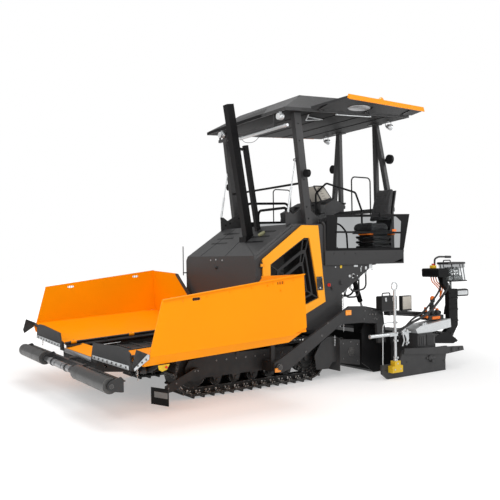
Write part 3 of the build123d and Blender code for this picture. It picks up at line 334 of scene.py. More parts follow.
def moulded_plastic(name, colour, roughness=0.5):
    """Moulded plastic with a fine leather-like grain."""
    finish = Finish(name, Specular_IOR_Level=0.45)
    grain = finish.cells(430)
    cloud = finish.noise(4, 4)
    finish.drive("Base Color", finish.blend(cloud, rgba(colour, 0.86), rgba(colour, 1.16)))
    finish.drive("Roughness", roughness + grain * 0.12 + finish.noise(13, 4) * 0.08)
    finish.relief(grain, 0.0006)
    return finish.material


def lens_plastic(name, colour, glow):
    """Coloured lens with moulded prisms behind it, and a painted glow, brighter on some prisms."""
    finish = Finish(name, Roughness=0.12, Coat_Weight=0.6, Coat_Roughness=0.05)
    prisms = finish.cells(170)
    finish.drive("Base Color", finish.blend(prisms, rgba(colour, 1.15), rgba(colour, 0.55)))
    # Painted glow and painted glints: the lens gives off light, brighter over some prisms than others
    finish.shader.inputs["Emission Strength"].default_value = glow
    finish.drive("Emission Color", finish.blend(prisms, rgba(colour, 1.1), rgba(colour, 0.6)))
    finish.relief(prisms, 0.0012)
    return finish.material


def pane():
    """Polycarbonate wind screen: clear with a grey tint and wiping marks."""
    finish = Finish("clear pane", Transmission_Weight=1.0, IOR=1.02, Specular_IOR_Level=0.5)
    wipes = finish.noise(2.2, 3, 0.5, finish.stretched((1.0, 1.0, 0.5))).between(0.3, 0.8)
    finish.drive("Base Color", finish.blend(wipes, (0.86, 0.88, 0.89, 1), (0.76, 0.78, 0.79, 1)))
    finish.drive("Roughness", wipes * 0.02)
    return finish.material


def roof_flap(settings):
    """Roof flap: grey like the roof, with a yellow rim along its slanting outer edge."""
    finish = Finish("roof flap", Coat_Weight=0.05, Coat_Roughness=0.2, Specular_IOR_Level=0.15)
    out = finish.node("ShaderNodeMath", {"operation": "ABSOLUTE"}, {0: finish.along("Y")})
    reach, behind, slant = 1.4157, 1.1, 0.1241
    edge = reach + (finish.along("X") + behind) * slant
    rim = (out - edge).between(-0.012, -0.008)
    cloud = finish.noise(2, 4)
    yellow = finish.blend(cloud, rgba(settings.yellow, 0.95), rgba(settings.yellow, 1.05))
    lining = finish.blend(finish.noise(30, 5), (0.016, 0.016, 0.017, 1), (0.03, 0.03, 0.031, 1))
    finish.drive("Base Color", finish.blend(rim, lining, yellow))
    finish.drive("Roughness", 0.5 - rim * 0.16 + finish.noise(36, 4) * 0.1)
    finish.relief(finish.noise(500, 2), 0.0004)
    return finish.material


def seat_cover():
    """Coarse woven black seat cloth."""
    finish = Finish("seat cover", Sheen_Weight=0.08, Sheen_Roughness=0.5)
    weave = finish.node(
        "ShaderNodeTexWave", {"wave_type": "BANDS", "bands_direction": "DIAGONAL"},
        {"Vector": finish.place(), "Scale": 190.0, "Distortion": 1.5, "Detail": 2.0}, "Fac")
    rub = finish.noise(7, 5).between(0.42, 0.7)
    base = finish.blend(weave, (0.012, 0.012, 0.013, 1), (0.04, 0.04, 0.042, 1))
    finish.drive("Base Color", finish.blend(rub * 0.4, base, (0.045, 0.044, 0.043, 1)))
    finish.drive("Roughness", 0.72 + weave * 0.14)
    finish.relief(weave + finish.noise(260, 3) * 0.5, 0.0012)
    return finish.material


def studio_floor(settings):
    """Pale matt floor that glows more away from the machine, so that it runs into the backdrop."""
    finish = Finish("studio floor", Specular_IOR_Level=0.1, Emission_Strength=1.0)
    cloud = finish.noise(0.7, 3)
    across, down = finish.along("X"), finish.along("Y")
    away = (across * across + down * down).between(10.0, 60.0)
    finish.drive("Emission Color", finish.blend(away, rgba(settings.floor, settings.glow),
                                                (0.85, 0.85, 0.85, 1)))
    finish.drive("Base Color", finish.blend(cloud, rgba(settings.floor, 0.985),
                                            rgba(settings.floor, 1.01)))
    finish.drive("Roughness", 0.75 + cloud * 0.1)
    return finish.material


finishes = {}


def make_finishes(settings):
    """All of the machine's finishes, by plain name."""
    for name, shade, *look in (
        ("yellow paint", settings.yellow, 0.36, 0.05, 0.1),
        ("door yellow paint", settings.door_yellow, 0.3, 0.05, 0.15),
        ("charcoal paint", settings.charcoal, 0.42, 0.14),
        ("dark charcoal paint", rgba(settings.charcoal, 0.5), 0.46, 0.2),
        ("black paint", settings.black, 0.36, 0.06, 0.08),
        ("engine grey paint", (0.11, 0.112, 0.115), 0.5, 0.5),
        ("roof lining", (0.012, 0.012, 0.0125), 0.6, 0.0, 0.08),
    ):
        finishes[name.removesuffix(" paint")] = paint(name, shade, settings, *look)
    for name, shade, roughness in (
        ("black plastic", (0.02, 0.02, 0.021), 0.42),
        ("grey plastic", (0.2, 0.21, 0.21), 0.45),
        ("beige plastic", (0.44, 0.41, 0.36), 0.5),
        ("olive cap", (0.2, 0.2, 0.11), 0.5),
        ("orange plastic", (0.8, 0.17, 0.01), 0.42),
        ("red plastic", (0.62, 0.02, 0.012), 0.35),
        ("white plastic", (0.72, 0.73, 0.73), 0.4),
        ("dark glass", (0.008, 0.01, 0.014), 0.06),
        ("roof plastic", (0.03, 0.03, 0.031), 0.45),
        ("safety yellow", (0.68, 0.43, 0.012), 0.42),
    ):
        finishes[name] = moulded_plastic(name, shade, roughness)
    # Lenses, each with the strength of its painted glow; the amber lens also covers the reflectors
    for name, shade, glow in (
        ("amber lens", (0.95, 0.3, 0.01), 0.25),
        ("clear lens", (0.55, 0.57, 0.58), 0.12),
    ):
        finishes[name] = lens_plastic(name, shade, glow)
    for make in (track_steel, steel, galvanised, chrome, rubber, bright_steel, brushed_alloy, pane,
                 seat_cover):
        finishes[make.__name__.replace("_", " ")] = make()
    finishes["roof flap"] = roof_flap(settings)


NODE_FINISHES = {
    "yellow": ("hopper_wing",),
    "door yellow": ("side_door",),
    "charcoal": ("hood", "rear_housing", "platform", "front_posts", "tow_arms", "push_beam",
                 "end_plate", "screed_extension", "auger_frame", "rear_posts"),
    "dark charcoal": ("track_frames", "main_frame", "hopper_frame", "door_grille", "tool_boxes"),
    "black": ("screed_body", "side_screens", "handrails", "exhaust_stack", "wing_ram_barrel",
              "lift_ram_barrels", "mirrors", "screed_control"),
    "engine grey": ("engine_block",),
    "track steel": ("track_left", "track_right", "track_wheels", "conveyors"),
    "steel": ("push_roller", "auger_left", "auger_right"),
    "chrome": ("wing_ram_rod", "lift_ram_rods"),
    "rubber": ("front_flap",),
    "galvanised": ("screed_fittings", "lamps", "gas_struts"),
    "safety yellow": ("edge_foot",),
    "black plastic": ("console", "seat_bases"),
    "roof plastic": ("roof_panel",),
    "roof flap": ("roof_visor",),
    "pane": ("screen_panes",),
    "seat cover": ("seat_pads",),
}


def finish_of(node):
    """The finish of a CAD node, by the longest name that it starts with."""
    matches = [(len(start), finish) for finish, starts in NODE_FINISHES.items()
               for start in starts if node.startswith(start)]
    if not matches:
        raise RuntimeError(f"no finish is given for the node {node}")
    return finishes[max(matches)[1]]


# Mesh code

class Shape:
    """One piece's mesh, built up from bars, rods, plates and tubes."""

    def __init__(self):
        self.mesh = bmesh.new()

    def _take(self, verts, place):
        bmesh.ops.transform(self.mesh, matrix=place, verts=verts)

    def box(self, low, high, rounded=0.0, place=Matrix.Identity(4)):
        """A box between two opposite corners, its edges rounded."""
        low, high = Vector([*map(min, low, high)]), Vector([*map(max, low, high)])
        made = bmesh.ops.create_cube(self.mesh, size=1.0)["verts"]
        size = Matrix.Diagonal((*(high - low), 1.0))
        self._take(made, place @ Matrix.Translation((low + high) / 2) @ size)
        if rounded:
            self._round(made, rounded)
        return self

    def bevel(self, edges, radius):
        """Round edges off."""
        bmesh.ops.bevel(self.mesh, geom=edges, offset=radius, segments=2, affect="EDGES",
                        profile=0.5)

    def _round(self, verts, radius):
        self.bevel(list({edge for vert in verts for edge in vert.link_edges}), radius)

    def corners(self, rings):
        """The mesh's own points at the places of the rings."""
        return [[self.mesh.verts.new(point) for point in ring] for ring in rings]

    def join(self, rings):
        """Faces between each ring of mesh points and the next."""
        for first, second in zip(rings, rings[1:]):
            for step in range(len(first)):
                after = (step + 1) % len(first)
                self.mesh.faces.new((first[step], first[after], second[after], second[step]))

    def skin(self, rings, closed=True):
        """A surface through rings of places, and over the two ends when closed."""
        rings = self.corners(rings)
        self.join(rings)
        if closed:
            self.mesh.faces.new(reversed(rings[0]))
            self.mesh.faces.new(rings[-1])
        return self

    def rod(self, start, end, radius, tip=None, sides=28, rounded=0.0):
        """A round bar or cone between two points."""
        start, end = Vector(start), Vector(end)
        run = end - start
        tip = radius if tip is None else tip
        made = bmesh.ops.create_cone(self.mesh, cap_ends=True, segments=sides, radius1=radius,
                                     radius2=tip, depth=run.length)["verts"]
        turn = run.to_track_quat("Z", "Y").to_matrix().to_4x4()
        self._take(made, Matrix.Translation((start + end) / 2) @ turn)
        if rounded:
            rims = [edge for edge in {e for v in made for e in v.link_edges}
                    if len(edge.link_faces) == 2 and edge.calc_face_angle(0) > 1.0]
            self.bevel(rims, rounded)
        return self

    def plate(self, outline, normal, thickness, rounded=0.0):
        """A flat plate from its outline's corners, thick along the normal."""
        verts = [self.mesh.verts.new(corner) for corner in outline]
        face = self.mesh.faces.new(verts)
        grown = bmesh.ops.extrude_face_region(self.mesh, geom=[face])["geom"]
        moved = [item for item in grown if isinstance(item, bmesh.types.BMVert)]
        bmesh.ops.translate(self.mesh, verts=moved, vec=Vector(normal).normalized() * thickness)
        bmesh.ops.recalc_face_normals(self.mesh, faces=self.mesh.faces[:])
        if rounded:
            self._round(verts + moved, rounded)
        return self

    def peg(self, foot, length, *size, **more):
        """A round bar along Y."""
        return self.rod(foot, Vector(foot) + Vector((0, length, 0)), *size, **more)

    def post(self, foot, height, *size, **more):
        """An upright round bar."""
        return self.rod(foot, Vector(foot) + Vector((0, 0, height)), *size, **more)

    def side_plate(self, outline, y, side, thickness, rounded=0.0):
        """A plate that faces along Y, from its outline's x and z."""
        return self.plate([(x, y, z) for x, z in outline], (0, side, 0), thickness, rounded)

    def tube(self, path, radius, sides=14):
        """A round tube along a path of points."""
        path = [Vector(point) for point in path]
        rings = []
        side = None
        for index, point in enumerate(path):
            ahead = path[min(index + 1, len(path) - 1)] - path[max(index - 1, 0)]
            ahead.normalize()
            if side is None:
                side = ahead.orthogonal().normalized()
            side = (side - ahead * side.dot(ahead)).normalized()
            up = ahead.cross(side)
            rings.append([point + out * radius for out in spread(side, up, sides)])
        return self.skin(rings)

    def hose(self, points, radius, sides):
        """A tube that runs smoothly through the points."""
        return self.tube(curved(points), radius, sides)

    def pipe(self, points, bend, radius, sides):
        """A tube of straight runs and round bends."""
        return self.tube(bent(points, bend), radius, sides)

    def ring(self, centre, axis, radius, wire, turns=28, sides=10):
        """A closed round hoop."""
        axis = Vector(axis).normalized()
        side = axis.orthogonal().normalized()
        up = axis.cross(side)
        hoops = self.corners(
            [Vector(centre) + out * radius + turned * wire for turned in spread(out, axis, sides)]
            for out in spread(side, up, turns))
        self.join(hoops + hoops[:1])
        return self

    def dome(self, centre, radius, height, rows=6, sides=24):
        """A low dome that stands on a flat foot."""
        centre, axis = Vector(centre), Vector((0, 0, 1))
        side = axis.orthogonal().normalized()
        rises = [math.pi / 2 * row / rows for row in range(rows)]
        return self.skin([
            [centre + out * radius * math.cos(rise) + axis * height * math.sin(rise)
             for out in spread(side, axis.cross(side), sides)] for rise in rises])

    def chain(self, start, end, link=0.0075, wire=0.0022):
        """Oval links, each turned a quarter from the one before."""
        start, end = Vector(start), Vector(end)
        run = end - start
        count = max(2, round(run.length / (link * 2.1)))
        ahead = run.normalized()
        side = ahead.orthogonal().normalized()
        for index in range(count):
            before = len(self.mesh.verts)
            centre = start + run * ((index + 0.5) / count)
            self.ring((0, 0, 0), side if index % 2 else ahead.cross(side), link, wire, 12, 6)
            self.mesh.verts.ensure_lookup_table()
            for vert in self.mesh.verts[before:]:
                vert.co = centre + vert.co + ahead * ahead.dot(vert.co) * 0.45
        return self

    def bolt(self, place, direction, across=0.012):
        """A hexagon head on its washer."""
        place, direction = Vector(place), Vector(direction).normalized()
        self.rod(place - direction * across * 0.15, place + direction * across * 0.16,
                 across * 0.85, sides=16)
        self.rod(place, place + direction * across * 0.55, across * 0.58, sides=6)
        return self

    def bolts(self, places, y, side, across):
        """Bolts at x and z places on a face that looks along Y."""
        for x, z in places:
            self.bolt((x, y, z), (0, side, 0), across)

    def bolt_circle(self, centre, radius, count, side, across, turn=0.0):
        """Bolts round a middle, on a face that looks along Y."""
        x, y, z = centre
        angles = [math.tau * (step + turn) / count for step in range(count)]
        places = [(x + radius * math.cos(angle), z + radius * math.sin(angle))
                  for angle in angles]
        self.bolts(places, y, side, across)

    def bolt_row(self, start, end, count, direction, across):
        """Evenly spread bolts."""
        for place in along(start, end, count):
            self.bolt(place, direction, across)

    def to_object(self, name, finish, body, place=Matrix.Identity(4), smooth=0.6):
        """Give the mesh to an object that moves with a body."""
        self.mesh.transform(place)
        bmesh.ops.recalc_face_normals(self.mesh, faces=self.mesh.faces[:])
        data = bpy.data.meshes.new(name)
        self.mesh.to_mesh(data)
        self.mesh.free()
        data.shade_smooth()
        data.set_sharp_from_angle(angle=smooth)
        made = bpy.data.objects.new(name, data)
        bpy.context.scene.collection.objects.link(made)
        data.materials.append(finishes[finish])
        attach(made, body)
        return made


def spread(side, up, count):
    """Unit directions all round, evenly spread."""
    angles = [math.tau * step / count for step in range(count)]
    return [side * math.cos(angle) + up * math.sin(angle) for angle in angles]


def along(start, end, count):
    """Evenly spread points, half a step in from both ends."""
    start, end = Vector(start), Vector(end)
    return [start.lerp(end, (index + 0.5) / count) for index in range(count)]


def curved(points, steps=7):
    """A smooth path through the points, for hoses."""
    points = [Vector(point) for point in points]
    ends = [points[0] * 2 - points[1]] + points + [points[-1] * 2 - points[-2]]
    path = []
    for before, start, end, after in zip(ends, ends[1:], ends[2:], ends[3:]):
        for step in range(steps):
            share = step / steps
            path.append(0.5 * (2 * start + (end - before) * share
                               + (2 * before - 5 * start + 4 * end - after) * share ** 2
                               + (3 * start - before - 3 * end + after) * share ** 3))
    path.append(points[-1])
    return path


def bent(points, bend, steps=6):
    """Straight runs joined by round bends, for tubes."""
    points = [Vector(point) for point in points]
    path = [points[0]]
    for before, corner, after in zip(points, points[1:], points[2:]):
        into = (before - corner).normalized()
        out = (after - corner).normalized()
        start, end = corner + into * bend, corner + out * bend
        for step in range(steps + 1):
            share = step / steps
            path.append(start * (1 - share) ** 2 + corner * 2 * share * (1 - share)
                        + end * share ** 2)
    path.append(points[-1])
    return path


# Operators

class PAVER_OT_finishes(bpy.types.Operator):
    """Make the finishes and give every part of the frame its own"""
    bl_idname = "paver.finishes"
    bl_label = "Finishes"

    def execute(self, context):
        make_finishes(context.scene.paver_paint)
        for name, node in nodes.items():
            node.data.materials.clear()
            node.data.materials.append(finish_of(name))
        return {"FINISHED"}


# Places on the frame that several fittings share

MIRROR = Matrix.Diagonal((1, -1, 1, 1))
SIDES = (("left", Matrix.Identity(4)), ("right", MIRROR))
BOTH = (-1, 1)
ROOF_TILT, FLAP_LIFT, HOPPER_TILT = math.radians(3.4), math.radians(12), math.radians(2.75)
hood_low, hood_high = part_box("hood")
housing_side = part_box("rear_housing")[1].y
door_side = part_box("side_door_left")[1].y
arm_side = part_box("tow_arms")[1].y - 0.11
plate_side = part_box("edge_foot_left")[0].y
extension_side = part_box("screed_extension_left")[1].y
wing_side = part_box("front_flap_left")[1].y - 0.015
deck_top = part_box("seat_bases")[0].z
roof_edge = Vector((-0.43, 0, 3.45))
roof_turn = (Matrix.Translation(roof_edge) @ Matrix.Rotation(ROOF_TILT, 4, "Y")
             @ Matrix.Translation(-roof_edge))
flap_hinge = Vector((0, 1.0, 3.475))
flap_turn = roof_turn @ Matrix.Translation(flap_hinge) @ Matrix.Rotation(FLAP_LIFT, 4, "X")
hopper_turn = Matrix.Translation((0, 0, 0.664)) @ Matrix.Rotation(HOPPER_TILT, 4, "Y")


def fit(body, pieces, turn=Matrix.Identity(4)):
    """Build pieces on one body: rows of a function, which names the piece, and a finish."""
    for build, finish in pieces:
        shape = Shape()
        build(shape)
        shape.mesh.transform(turn)
        shape.to_object(build.__name__, finish, body)


def fit_both(body, pieces):
    """Build pieces that have a right and a left half."""
    for build, finish in pieces:
        shape = Shape()
        for side in BOTH:
            build(shape, side)
        shape.to_object(build.__name__, finish, body)


def fit_pair(body, pieces, turn=Matrix.Identity(4)):
    """Build a piece on the left and its mirror image on the right; {} in the body is the side."""
    for build, finish in pieces:
        for side, place in SIDES:
            shape = Shape()
            build(shape)
            shape.mesh.transform(turn)
            shape.to_object(f"{build.__name__}_{side}", finish, body.format(side), place)


# Soft seats

SEAT_MIDDLE = Vector((-2.2, 0.68, 0))
CUSHION = (-0.138, 0.238, 1.957, 2.046)     # rear, front, low, high
CUSHION_HALF = 0.193
BACK_OUTLINE = ((-2.292, 2.098), (-2.372, 2.088), (-2.498, 2.577), (-2.44, 2.577), (-2.368, 2.4))
SEAM_DEPTH, SEAM_WIDTH = 0.006, 0.012


def baked(made):
    """Take the modifiers' result into the mesh and drop the modifiers."""
    graph = bpy.context.evaluated_depsgraph_get()
    data = bpy.data.meshes.new_from_object(made.evaluated_get(graph))
    made.modifiers.clear()
    made.data = data


def swell(made, furthest, voxel=0.009, frames=20, pressure=4.0):
    """Remesh a closed shape and swell it as stuffed cloth, no point moving further than allowed."""
    remesh = made.modifiers.new("remesh", "REMESH")
    remesh.mode = "VOXEL"
    remesh.voxel_size = voxel
    baked(made)
    start = [vert.co.copy() for vert in made.data.vertices]
    cloth = made.modifiers.new("cloth", "CLOTH")
    cloth.settings.use_pressure = True
    cloth.settings.uniform_pressure_force = pressure
    cloth.settings.effector_weights.gravity = 0
    for number in range(1, frames + 1):
        bpy.context.scene.frame_set(number)
    baked(made)
    for vert, before in zip(made.data.vertices, start):
        moved = vert.co - before
        if moved.length > furthest:
            vert.co = before + moved.normalized() * furthest
    bpy.context.scene.frame_set(1)


def sew(made, seams, depth=SEAM_DEPTH, width=SEAM_WIDTH):
    """Pull the cloth in along seams: functions that give a point's distance from the seam."""
    data = made.data
    normals = [vert.normal.copy() for vert in data.vertices]
    for vert, normal in zip(data.vertices, normals):
        for seam in seams:
            share = seam(vert.co) / width
            if share < 1:
                vert.co -= normal * depth * (1 - share * share) ** 2


def finer(made):
    """One step of subdivision, kept in the mesh."""
    level = made.modifiers.new("finer", "SUBSURF")
    level.levels = level.render_levels = 1
    baked(made)
    made.data.shade_smooth()


def seat_cushion():
    """Crowned seat cushion with raised bolsters at the sides."""
    rear, front, low, high = CUSHION
    shape = Shape()
    shape.box((SEAT_MIDDLE.x + rear, SEAT_MIDDLE.y - CUSHION_HALF, low),
              (SEAT_MIDDLE.x + front, SEAT_MIDDLE.y + CUSHION_HALF, high), 0.03)
    made = shape.to_object("seat_cushion_left", "seat cover", "chassis")
    swell(made, furthest=0.024)
    bolster, above = 0.125, low + 0.05

    def lengthways(point):
        return abs(abs(point.y - SEAT_MIDDLE.y) - bolster) if point.z > above else 1

    def crossways(reach):
        def seam(point):
            inside = abs(point.y - SEAT_MIDDLE.y) < bolster and point.z > above
            return abs(point.x - SEAT_MIDDLE.x - reach) if inside else 1
        return seam

    def rim(point):
        return abs(point.z - high + 0.02) if point.z < high else 1

    sew(made, (lengthways, crossways(-0.02), crossways(0.1), rim))
    finer(made)
    return made


def seat_back():
    """High seat back, narrower at the top, with sewn cross channels."""
    half_low, half_high = CUSHION_HALF, 0.15
    low, high = BACK_OUTLINE[0][1], BACK_OUTLINE[2][1]

    def half(z):
        return half_low + (half_high - half_low) * max(0.0, (z - low) / (high - low)) ** 2

    shape = Shape()
    rings = shape.corners(
        [(x, SEAT_MIDDLE.y + side * half(z), z) for x, z in BACK_OUTLINE] for side in BOTH)
    shape.join(rings)
    shape.mesh.faces.new(rings[0])
    shape.mesh.faces.new(reversed(rings[1]))
    shape.bevel(shape.mesh.edges[:], 0.02)
    made = shape.to_object("seat_back_left", "seat cover", "chassis")
    swell(made, furthest=0.022)
    panel = 0.12

    def channel(share):
        height = low + (high - low) * share

        def seam(point):
            return abs(point.z - height) if abs(point.y - SEAT_MIDDLE.y) < panel - 0.005 else 1
        return seam

    def bolster(point):
        inside = low + 0.04 < point.z < high - 0.05
        return abs(abs(point.y - SEAT_MIDDLE.y) - panel) if inside else 1

    sew(made, (channel(0.25), channel(0.5), channel(0.75), bolster))
    finer(made)
    return made


def right_twin(made, name):
    """The same soft piece on the right."""
    twin = bpy.data.objects.new(name, made.data.copy())
    twin.data.transform(MIRROR)
    twin.data.flip_normals()
    bpy.context.scene.collection.objects.link(twin)
    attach(twin, "chassis")
    return twin


def seat_trim(shape, y):
    """Piping round the foot of the cushion."""
    rear, front, low = CUSHION[:3]
    half = CUSHION_HALF + 0.004
    x_rear, x_front = SEAT_MIDDLE.x + rear + 0.03, SEAT_MIDDLE.x + front + 0.006
    shape.pipe([(x_rear, y - half, low), (x_front, y - half, low), (x_front, y + half, low),
                (x_rear, y + half, low)], 0.04, 0.005, 8)


def seat_slide_handles(shape, y):
    """Orange handles of the seat's slide."""
    for x in (-2.415, -1.985):
        shape.box((x - 0.03, y - 0.06, 1.897), (x + 0.03, y + 0.19, 1.917), 0.006)


def seat_bellows(shape, y):
    """Ribs of the rubber bellows under the seat."""
    x = SEAT_MIDDLE.x
    for step in range(9):
        z = deck_top + 0.075 + step * 0.036
        out = 0.182 if step % 2 == 0 else 0.16
        shape.pipe([(x + out, y + 0.01, z), (x + out, y + out, z), (x - out, y + out, z),
                    (x - out, y - out, z), (x + out, y - out, z), (x + out, y, z)], 0.05, 0.012, 8)


class PAVER_OT_seats(bpy.types.Operator):
    """Sew the two operator's seats"""
    bl_idname = "paver.seats"
    bl_label = "Seats"

    def execute(self, context):
        for made in (seat_cushion(), seat_back()):
            twin = right_twin(made, made.name.replace("left", "right"))
            for piece in (made, twin):
                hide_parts("seat_pads")
        for side, turn in (("left", 1), ("right", -1)):
            for build, finish in (
                    (seat_trim, "black plastic"), (seat_slide_handles, "orange plastic"),
                    (seat_bellows, "rubber")):
                shape = Shape()
                build(shape, turn * SEAT_MIDDLE.y)
                shape.to_object(f"{build.__name__}_{side}", finish, "chassis")
        return {"FINISHED"}


# Hopper fittings

def flap_strip(shape):
    """Clamping strip with bolts along the lower edge of the front flap."""
    face = 1.95
    shape.plate([(face, 0.583, 0.530), (face, 1.578, 0.545), (face, 1.578, 0.588),
                 (face, 0.583, 0.573)], (1, 0, 0), 0.005, 0.001)


def flap_bolts(shape):
    """Bolts of the clamping strips on the front flap and its corner."""
    shape.bolt_row((1.955, 0.583, 0.552), (1.955, 1.578, 0.567), 8, (1, 0, 0), 0.016)
    shape.bolt_row((1.905, wing_side + 0.019, 0.7), (2.03, wing_side + 0.019, 0.63), 3, (0, 1, 0),
                   0.012)


def corner_strip(shape):
    """Strip that clamps the corner flap to the wing."""
    y = wing_side + 0.015
    shape.side_plate(((1.892, 0.728), (1.912, 0.737), (2.048, 0.618), (2.041, 0.594),
                      (1.896, 0.688)), y, 1, 0.004, 0.001)


def sill_latch(shape):
    """Transport latch on the sill: a lug with its hook."""
    y = 1.84
    shape.side_plate(((1.65, 0.612), (1.771, 0.606), (1.762, 0.565), (1.73, 0.545), (1.68, 0.56)),
                     y, 1, 0.014, 0.002)
    shape.ring((1.725, y + 0.007, 0.572), (0, 1, 0), 0.016, 0.005, 20, 8)


def latch_pin(shape):
    """Red pull pin of the sill latch."""
    shape.peg((1.69, 1.828, 0.585), 0.042, 0.011, rounded=0.002)


def wing_bolts(shape):
    """Bolts of the wing's wall, along its top lip and beside the slots."""
    shape.bolt_row((0.06, wing_side, 1.375), (1.66, wing_side, 1.19), 6, (0, 1, 0), 0.013)
    for x, z in ((0.528, 1.39), (0.362, 1.333)):
        shape.bolt((x, wing_side, z - 0.075), (0, 1, 0), 0.017)


def wing_slot_bars(shape):
    """Small grip bars inside the wing's slots."""
    for u, w in ((0.33, 0.69), (1.35, 0.62)):
        for offset in (-0.03, 0, 0.03):
            shape.rod((u + offset, wing_side - 0.012, w - 0.017),
                      (u + offset, wing_side - 0.012, w + 0.017), 0.0035, sides=10)


def hinge_caps(shape):
    """Grease nipples and end caps of the wing's hinge knuckles."""
    for u in (0.16, 0.96, 1.74):
        for end in (u - 0.004, u + 0.07):
            shape.rod((end, 0.604, 0), (end + 0.004, 0.604, 0), 0.02, sides=20)
        shape.post((u + 0.035, 0.604, 0.02), 0.01, 0.005, 0.003, sides=10)


def hopper_chain(shape):
    """Short chain that hangs under the hopper's front corner, with its hook."""
    shape.chain((1.874, 1.6, 0.612), (1.874, 1.6, 0.47))
    shape.hose([(1.874, 1.6, 0.47), (1.874, 1.604, 0.45), (1.874, 1.618, 0.44),
                (1.874, 1.626, 0.455)], 0.004, 8)


def rear_seal(shape):
    """Rubber strip along the sloping edge of the wing's rear wall."""
    u = 0.0285
    shape.plate([(u, 1.12, 0.706), (u, 1.108, 0.724), (u, 1.03, 0.72), (u, 0.705, 0.452),
                 (u, 0.69, 0.4), (u, 0.735, 0.375), (u, 0.78, 0.424)], (1, 0, 0), 0.006, 0.001)


def sill_end(shape):
    """Slanting end of the sill behind its last rib, and the gusset inside the rear corner."""
    shape.plate([(0.217, 1.9055, 0.13), (0.217, 1.84, 0.036), (0.09, 1.9055, 0.13)],
                (0, -0.82, 0.57), 0.01)
    shape.box((0.029, 1.885, 0.151), (0.16, 1.8895, 0.2))


def hinge_seal(shape):
    """Rubber strip that closes the gap under the wing's hinge."""
    shape.box((0.04, 0.556, -0.0278), (1.87, 0.646, -0.0242))
    shape.box((0.04, 0.642, -0.0262), (1.87, 0.646, -0.0172))


def apron_liner(shape):
    """Painted liner on the apron in front of the conveyors."""
    half = 0.555
    shape.plate([(1.665, -half, 0.5568), (1.665, half, 0.5568), (1.92, half, 0.5148),
                 (1.92, -half, 0.5148)], (0.1625, 0, 0.9867), 0.003)


def front_sill(shape):
    """Bright wear strip on the lip between the two front flaps."""
    shape.box((1.9283, -0.47, 0.48), (1.9318, 0.47, 0.534), 0.001)


def sill_ears(shape, side):
    """Rubber ears that close the corners between the lip and the wings' hinges."""
    shape.box((1.9225, side * 0.5, 0.49), (1.928, side * 0.655, 0.6), 0.001)


def beam_sleeves(shape):
    """Steel sleeves on the push beam's middle shaft."""
    for low, high in ((-0.232, -0.14), (-0.1, 0.1), (0.14, 0.232), (-0.39, -0.27), (0.27, 0.39)):
        shape.rod((2.13, low, 0.41), (2.13, high, 0.41), 0.039, rounded=0.003)


class PAVER_OT_hopper(bpy.types.Operator):
    """Fit strips, bolts, latches and chains to the hopper's wings"""
    bl_idname = "paver.hopper"
    bl_label = "Hopper fittings"

    def execute(self, context):
        fit_pair("wing_{}", (
            (flap_strip, "galvanised"), (flap_bolts, "steel"), (corner_strip, "galvanised"),
            (sill_latch, "safety yellow"), (latch_pin, "red plastic"), (wing_bolts, "yellow"),
            (hopper_chain, "bright steel")))
        fit_pair("wing_{}", (
            (wing_slot_bars, "black"), (hinge_caps, "steel"), (rear_seal, "rubber"),
            (sill_end, "yellow")), hopper_turn)
        fit_pair("chassis", ((hinge_seal, "rubber"),), hopper_turn)
        fit("chassis", ((apron_liner, "yellow"), (front_sill, "brushed alloy")))
        fit_both("chassis", ((sill_ears, "rubber"),))
        fit("push_beam", ((beam_sleeves, "brushed alloy"),))
        return {"FINISHED"}


# Hood fittings

HOOD_FRONT_TOP = (0.0, 1.63)
HOOD_CROWN = (-0.6, 2.03)
SEAM = 0.0022


def on_slope(share, y, lift=0.0):
    """A point on the hood's sloping front, from its foot (0) to its crown (1)."""
    run = Vector((HOOD_CROWN[0] - HOOD_FRONT_TOP[0], 0, HOOD_CROWN[1] - HOOD_FRONT_TOP[1]))
    normal = Vector((-run.z, 0, run.x)).normalized() * -1
    return Vector((HOOD_FRONT_TOP[0], y, HOOD_FRONT_TOP[1])) + run * share + normal * lift


def hood_seams(shape):
    """Folds and panel gaps of the hood."""
    foot = on_slope(0.592, 0.075, 0.0005)
    for y in (0.185, 0.86):
        shape.tube([on_slope(0.01, y, 0.0005), foot], SEAM, 6)
    shape.tube([on_slope(0.01, -0.48, 0.0005), on_slope(0.98, -0.48, 0.0005)], SEAM, 6)
    shape.tube([(hood_high.x, hood_low.y + 0.02, 0.99), (hood_high.x, hood_high.y - 0.02, 0.99)],
               SEAM, 6)


def hood_screws(shape):
    """Screws on the hood's front."""
    face = hood_high.x
    for y, z in ((-0.186, 1.577), (-0.048, 1.585), (0.116, 1.576)):
        shape.bolt((face, y, z), (1, 0, 0), 0.013)


def hood_locks(shape):
    """Black locks and grab handles of the hood."""
    face = hood_high.x
    shape.rod((face, -0.036, 1.477), (face + 0.014, -0.036, 1.477), 0.021, rounded=0.003)
    shape.box((face + 0.012, -0.041, 1.46), (face + 0.024, -0.031, 1.494), 0.003)
    rod = Vector((0.02, -0.95, 0))
    shape.rod(rod + Vector((0, 0, 1.36)), rod + Vector((0, 0, 1.781)), 0.007, sides=14)
    shape.box((-0.03, -0.955, 1.39), (0.028, -0.893, 1.405), 0.003)


def hood_louvres(shape):
    """Louvre blades in the hood's slots."""
    for low, high in ((-0.612, -0.208), (0.268, 0.672)):
        for share in (0.45, 0.62, 0.79):
            lower = on_slope(share - 0.024, low, 0.0008)
            upper = on_slope(share + 0.024, high, 0.0008)
            shape.plate([lower, (lower.x, high, lower.z), upper, (upper.x, low, upper.z)],
                        (0, 0, -1), 0.0025)


def filler_cap(shape):
    """Filler cap on the hood's slope."""
    middle = 0.7
    shape.rod(on_slope(middle, 0.44), on_slope(middle, 0.44, 0.022), 0.05, rounded=0.005)
    for step in range(10):
        angle = math.tau * step / 10
        foot = on_slope(middle + 0.066 * math.cos(angle), 0.44 + 0.048 * math.sin(angle), 0.002)
        shape.rod(foot, foot + (on_slope(0, 0, 0.018) - on_slope(0, 0)), 0.006, sides=8)


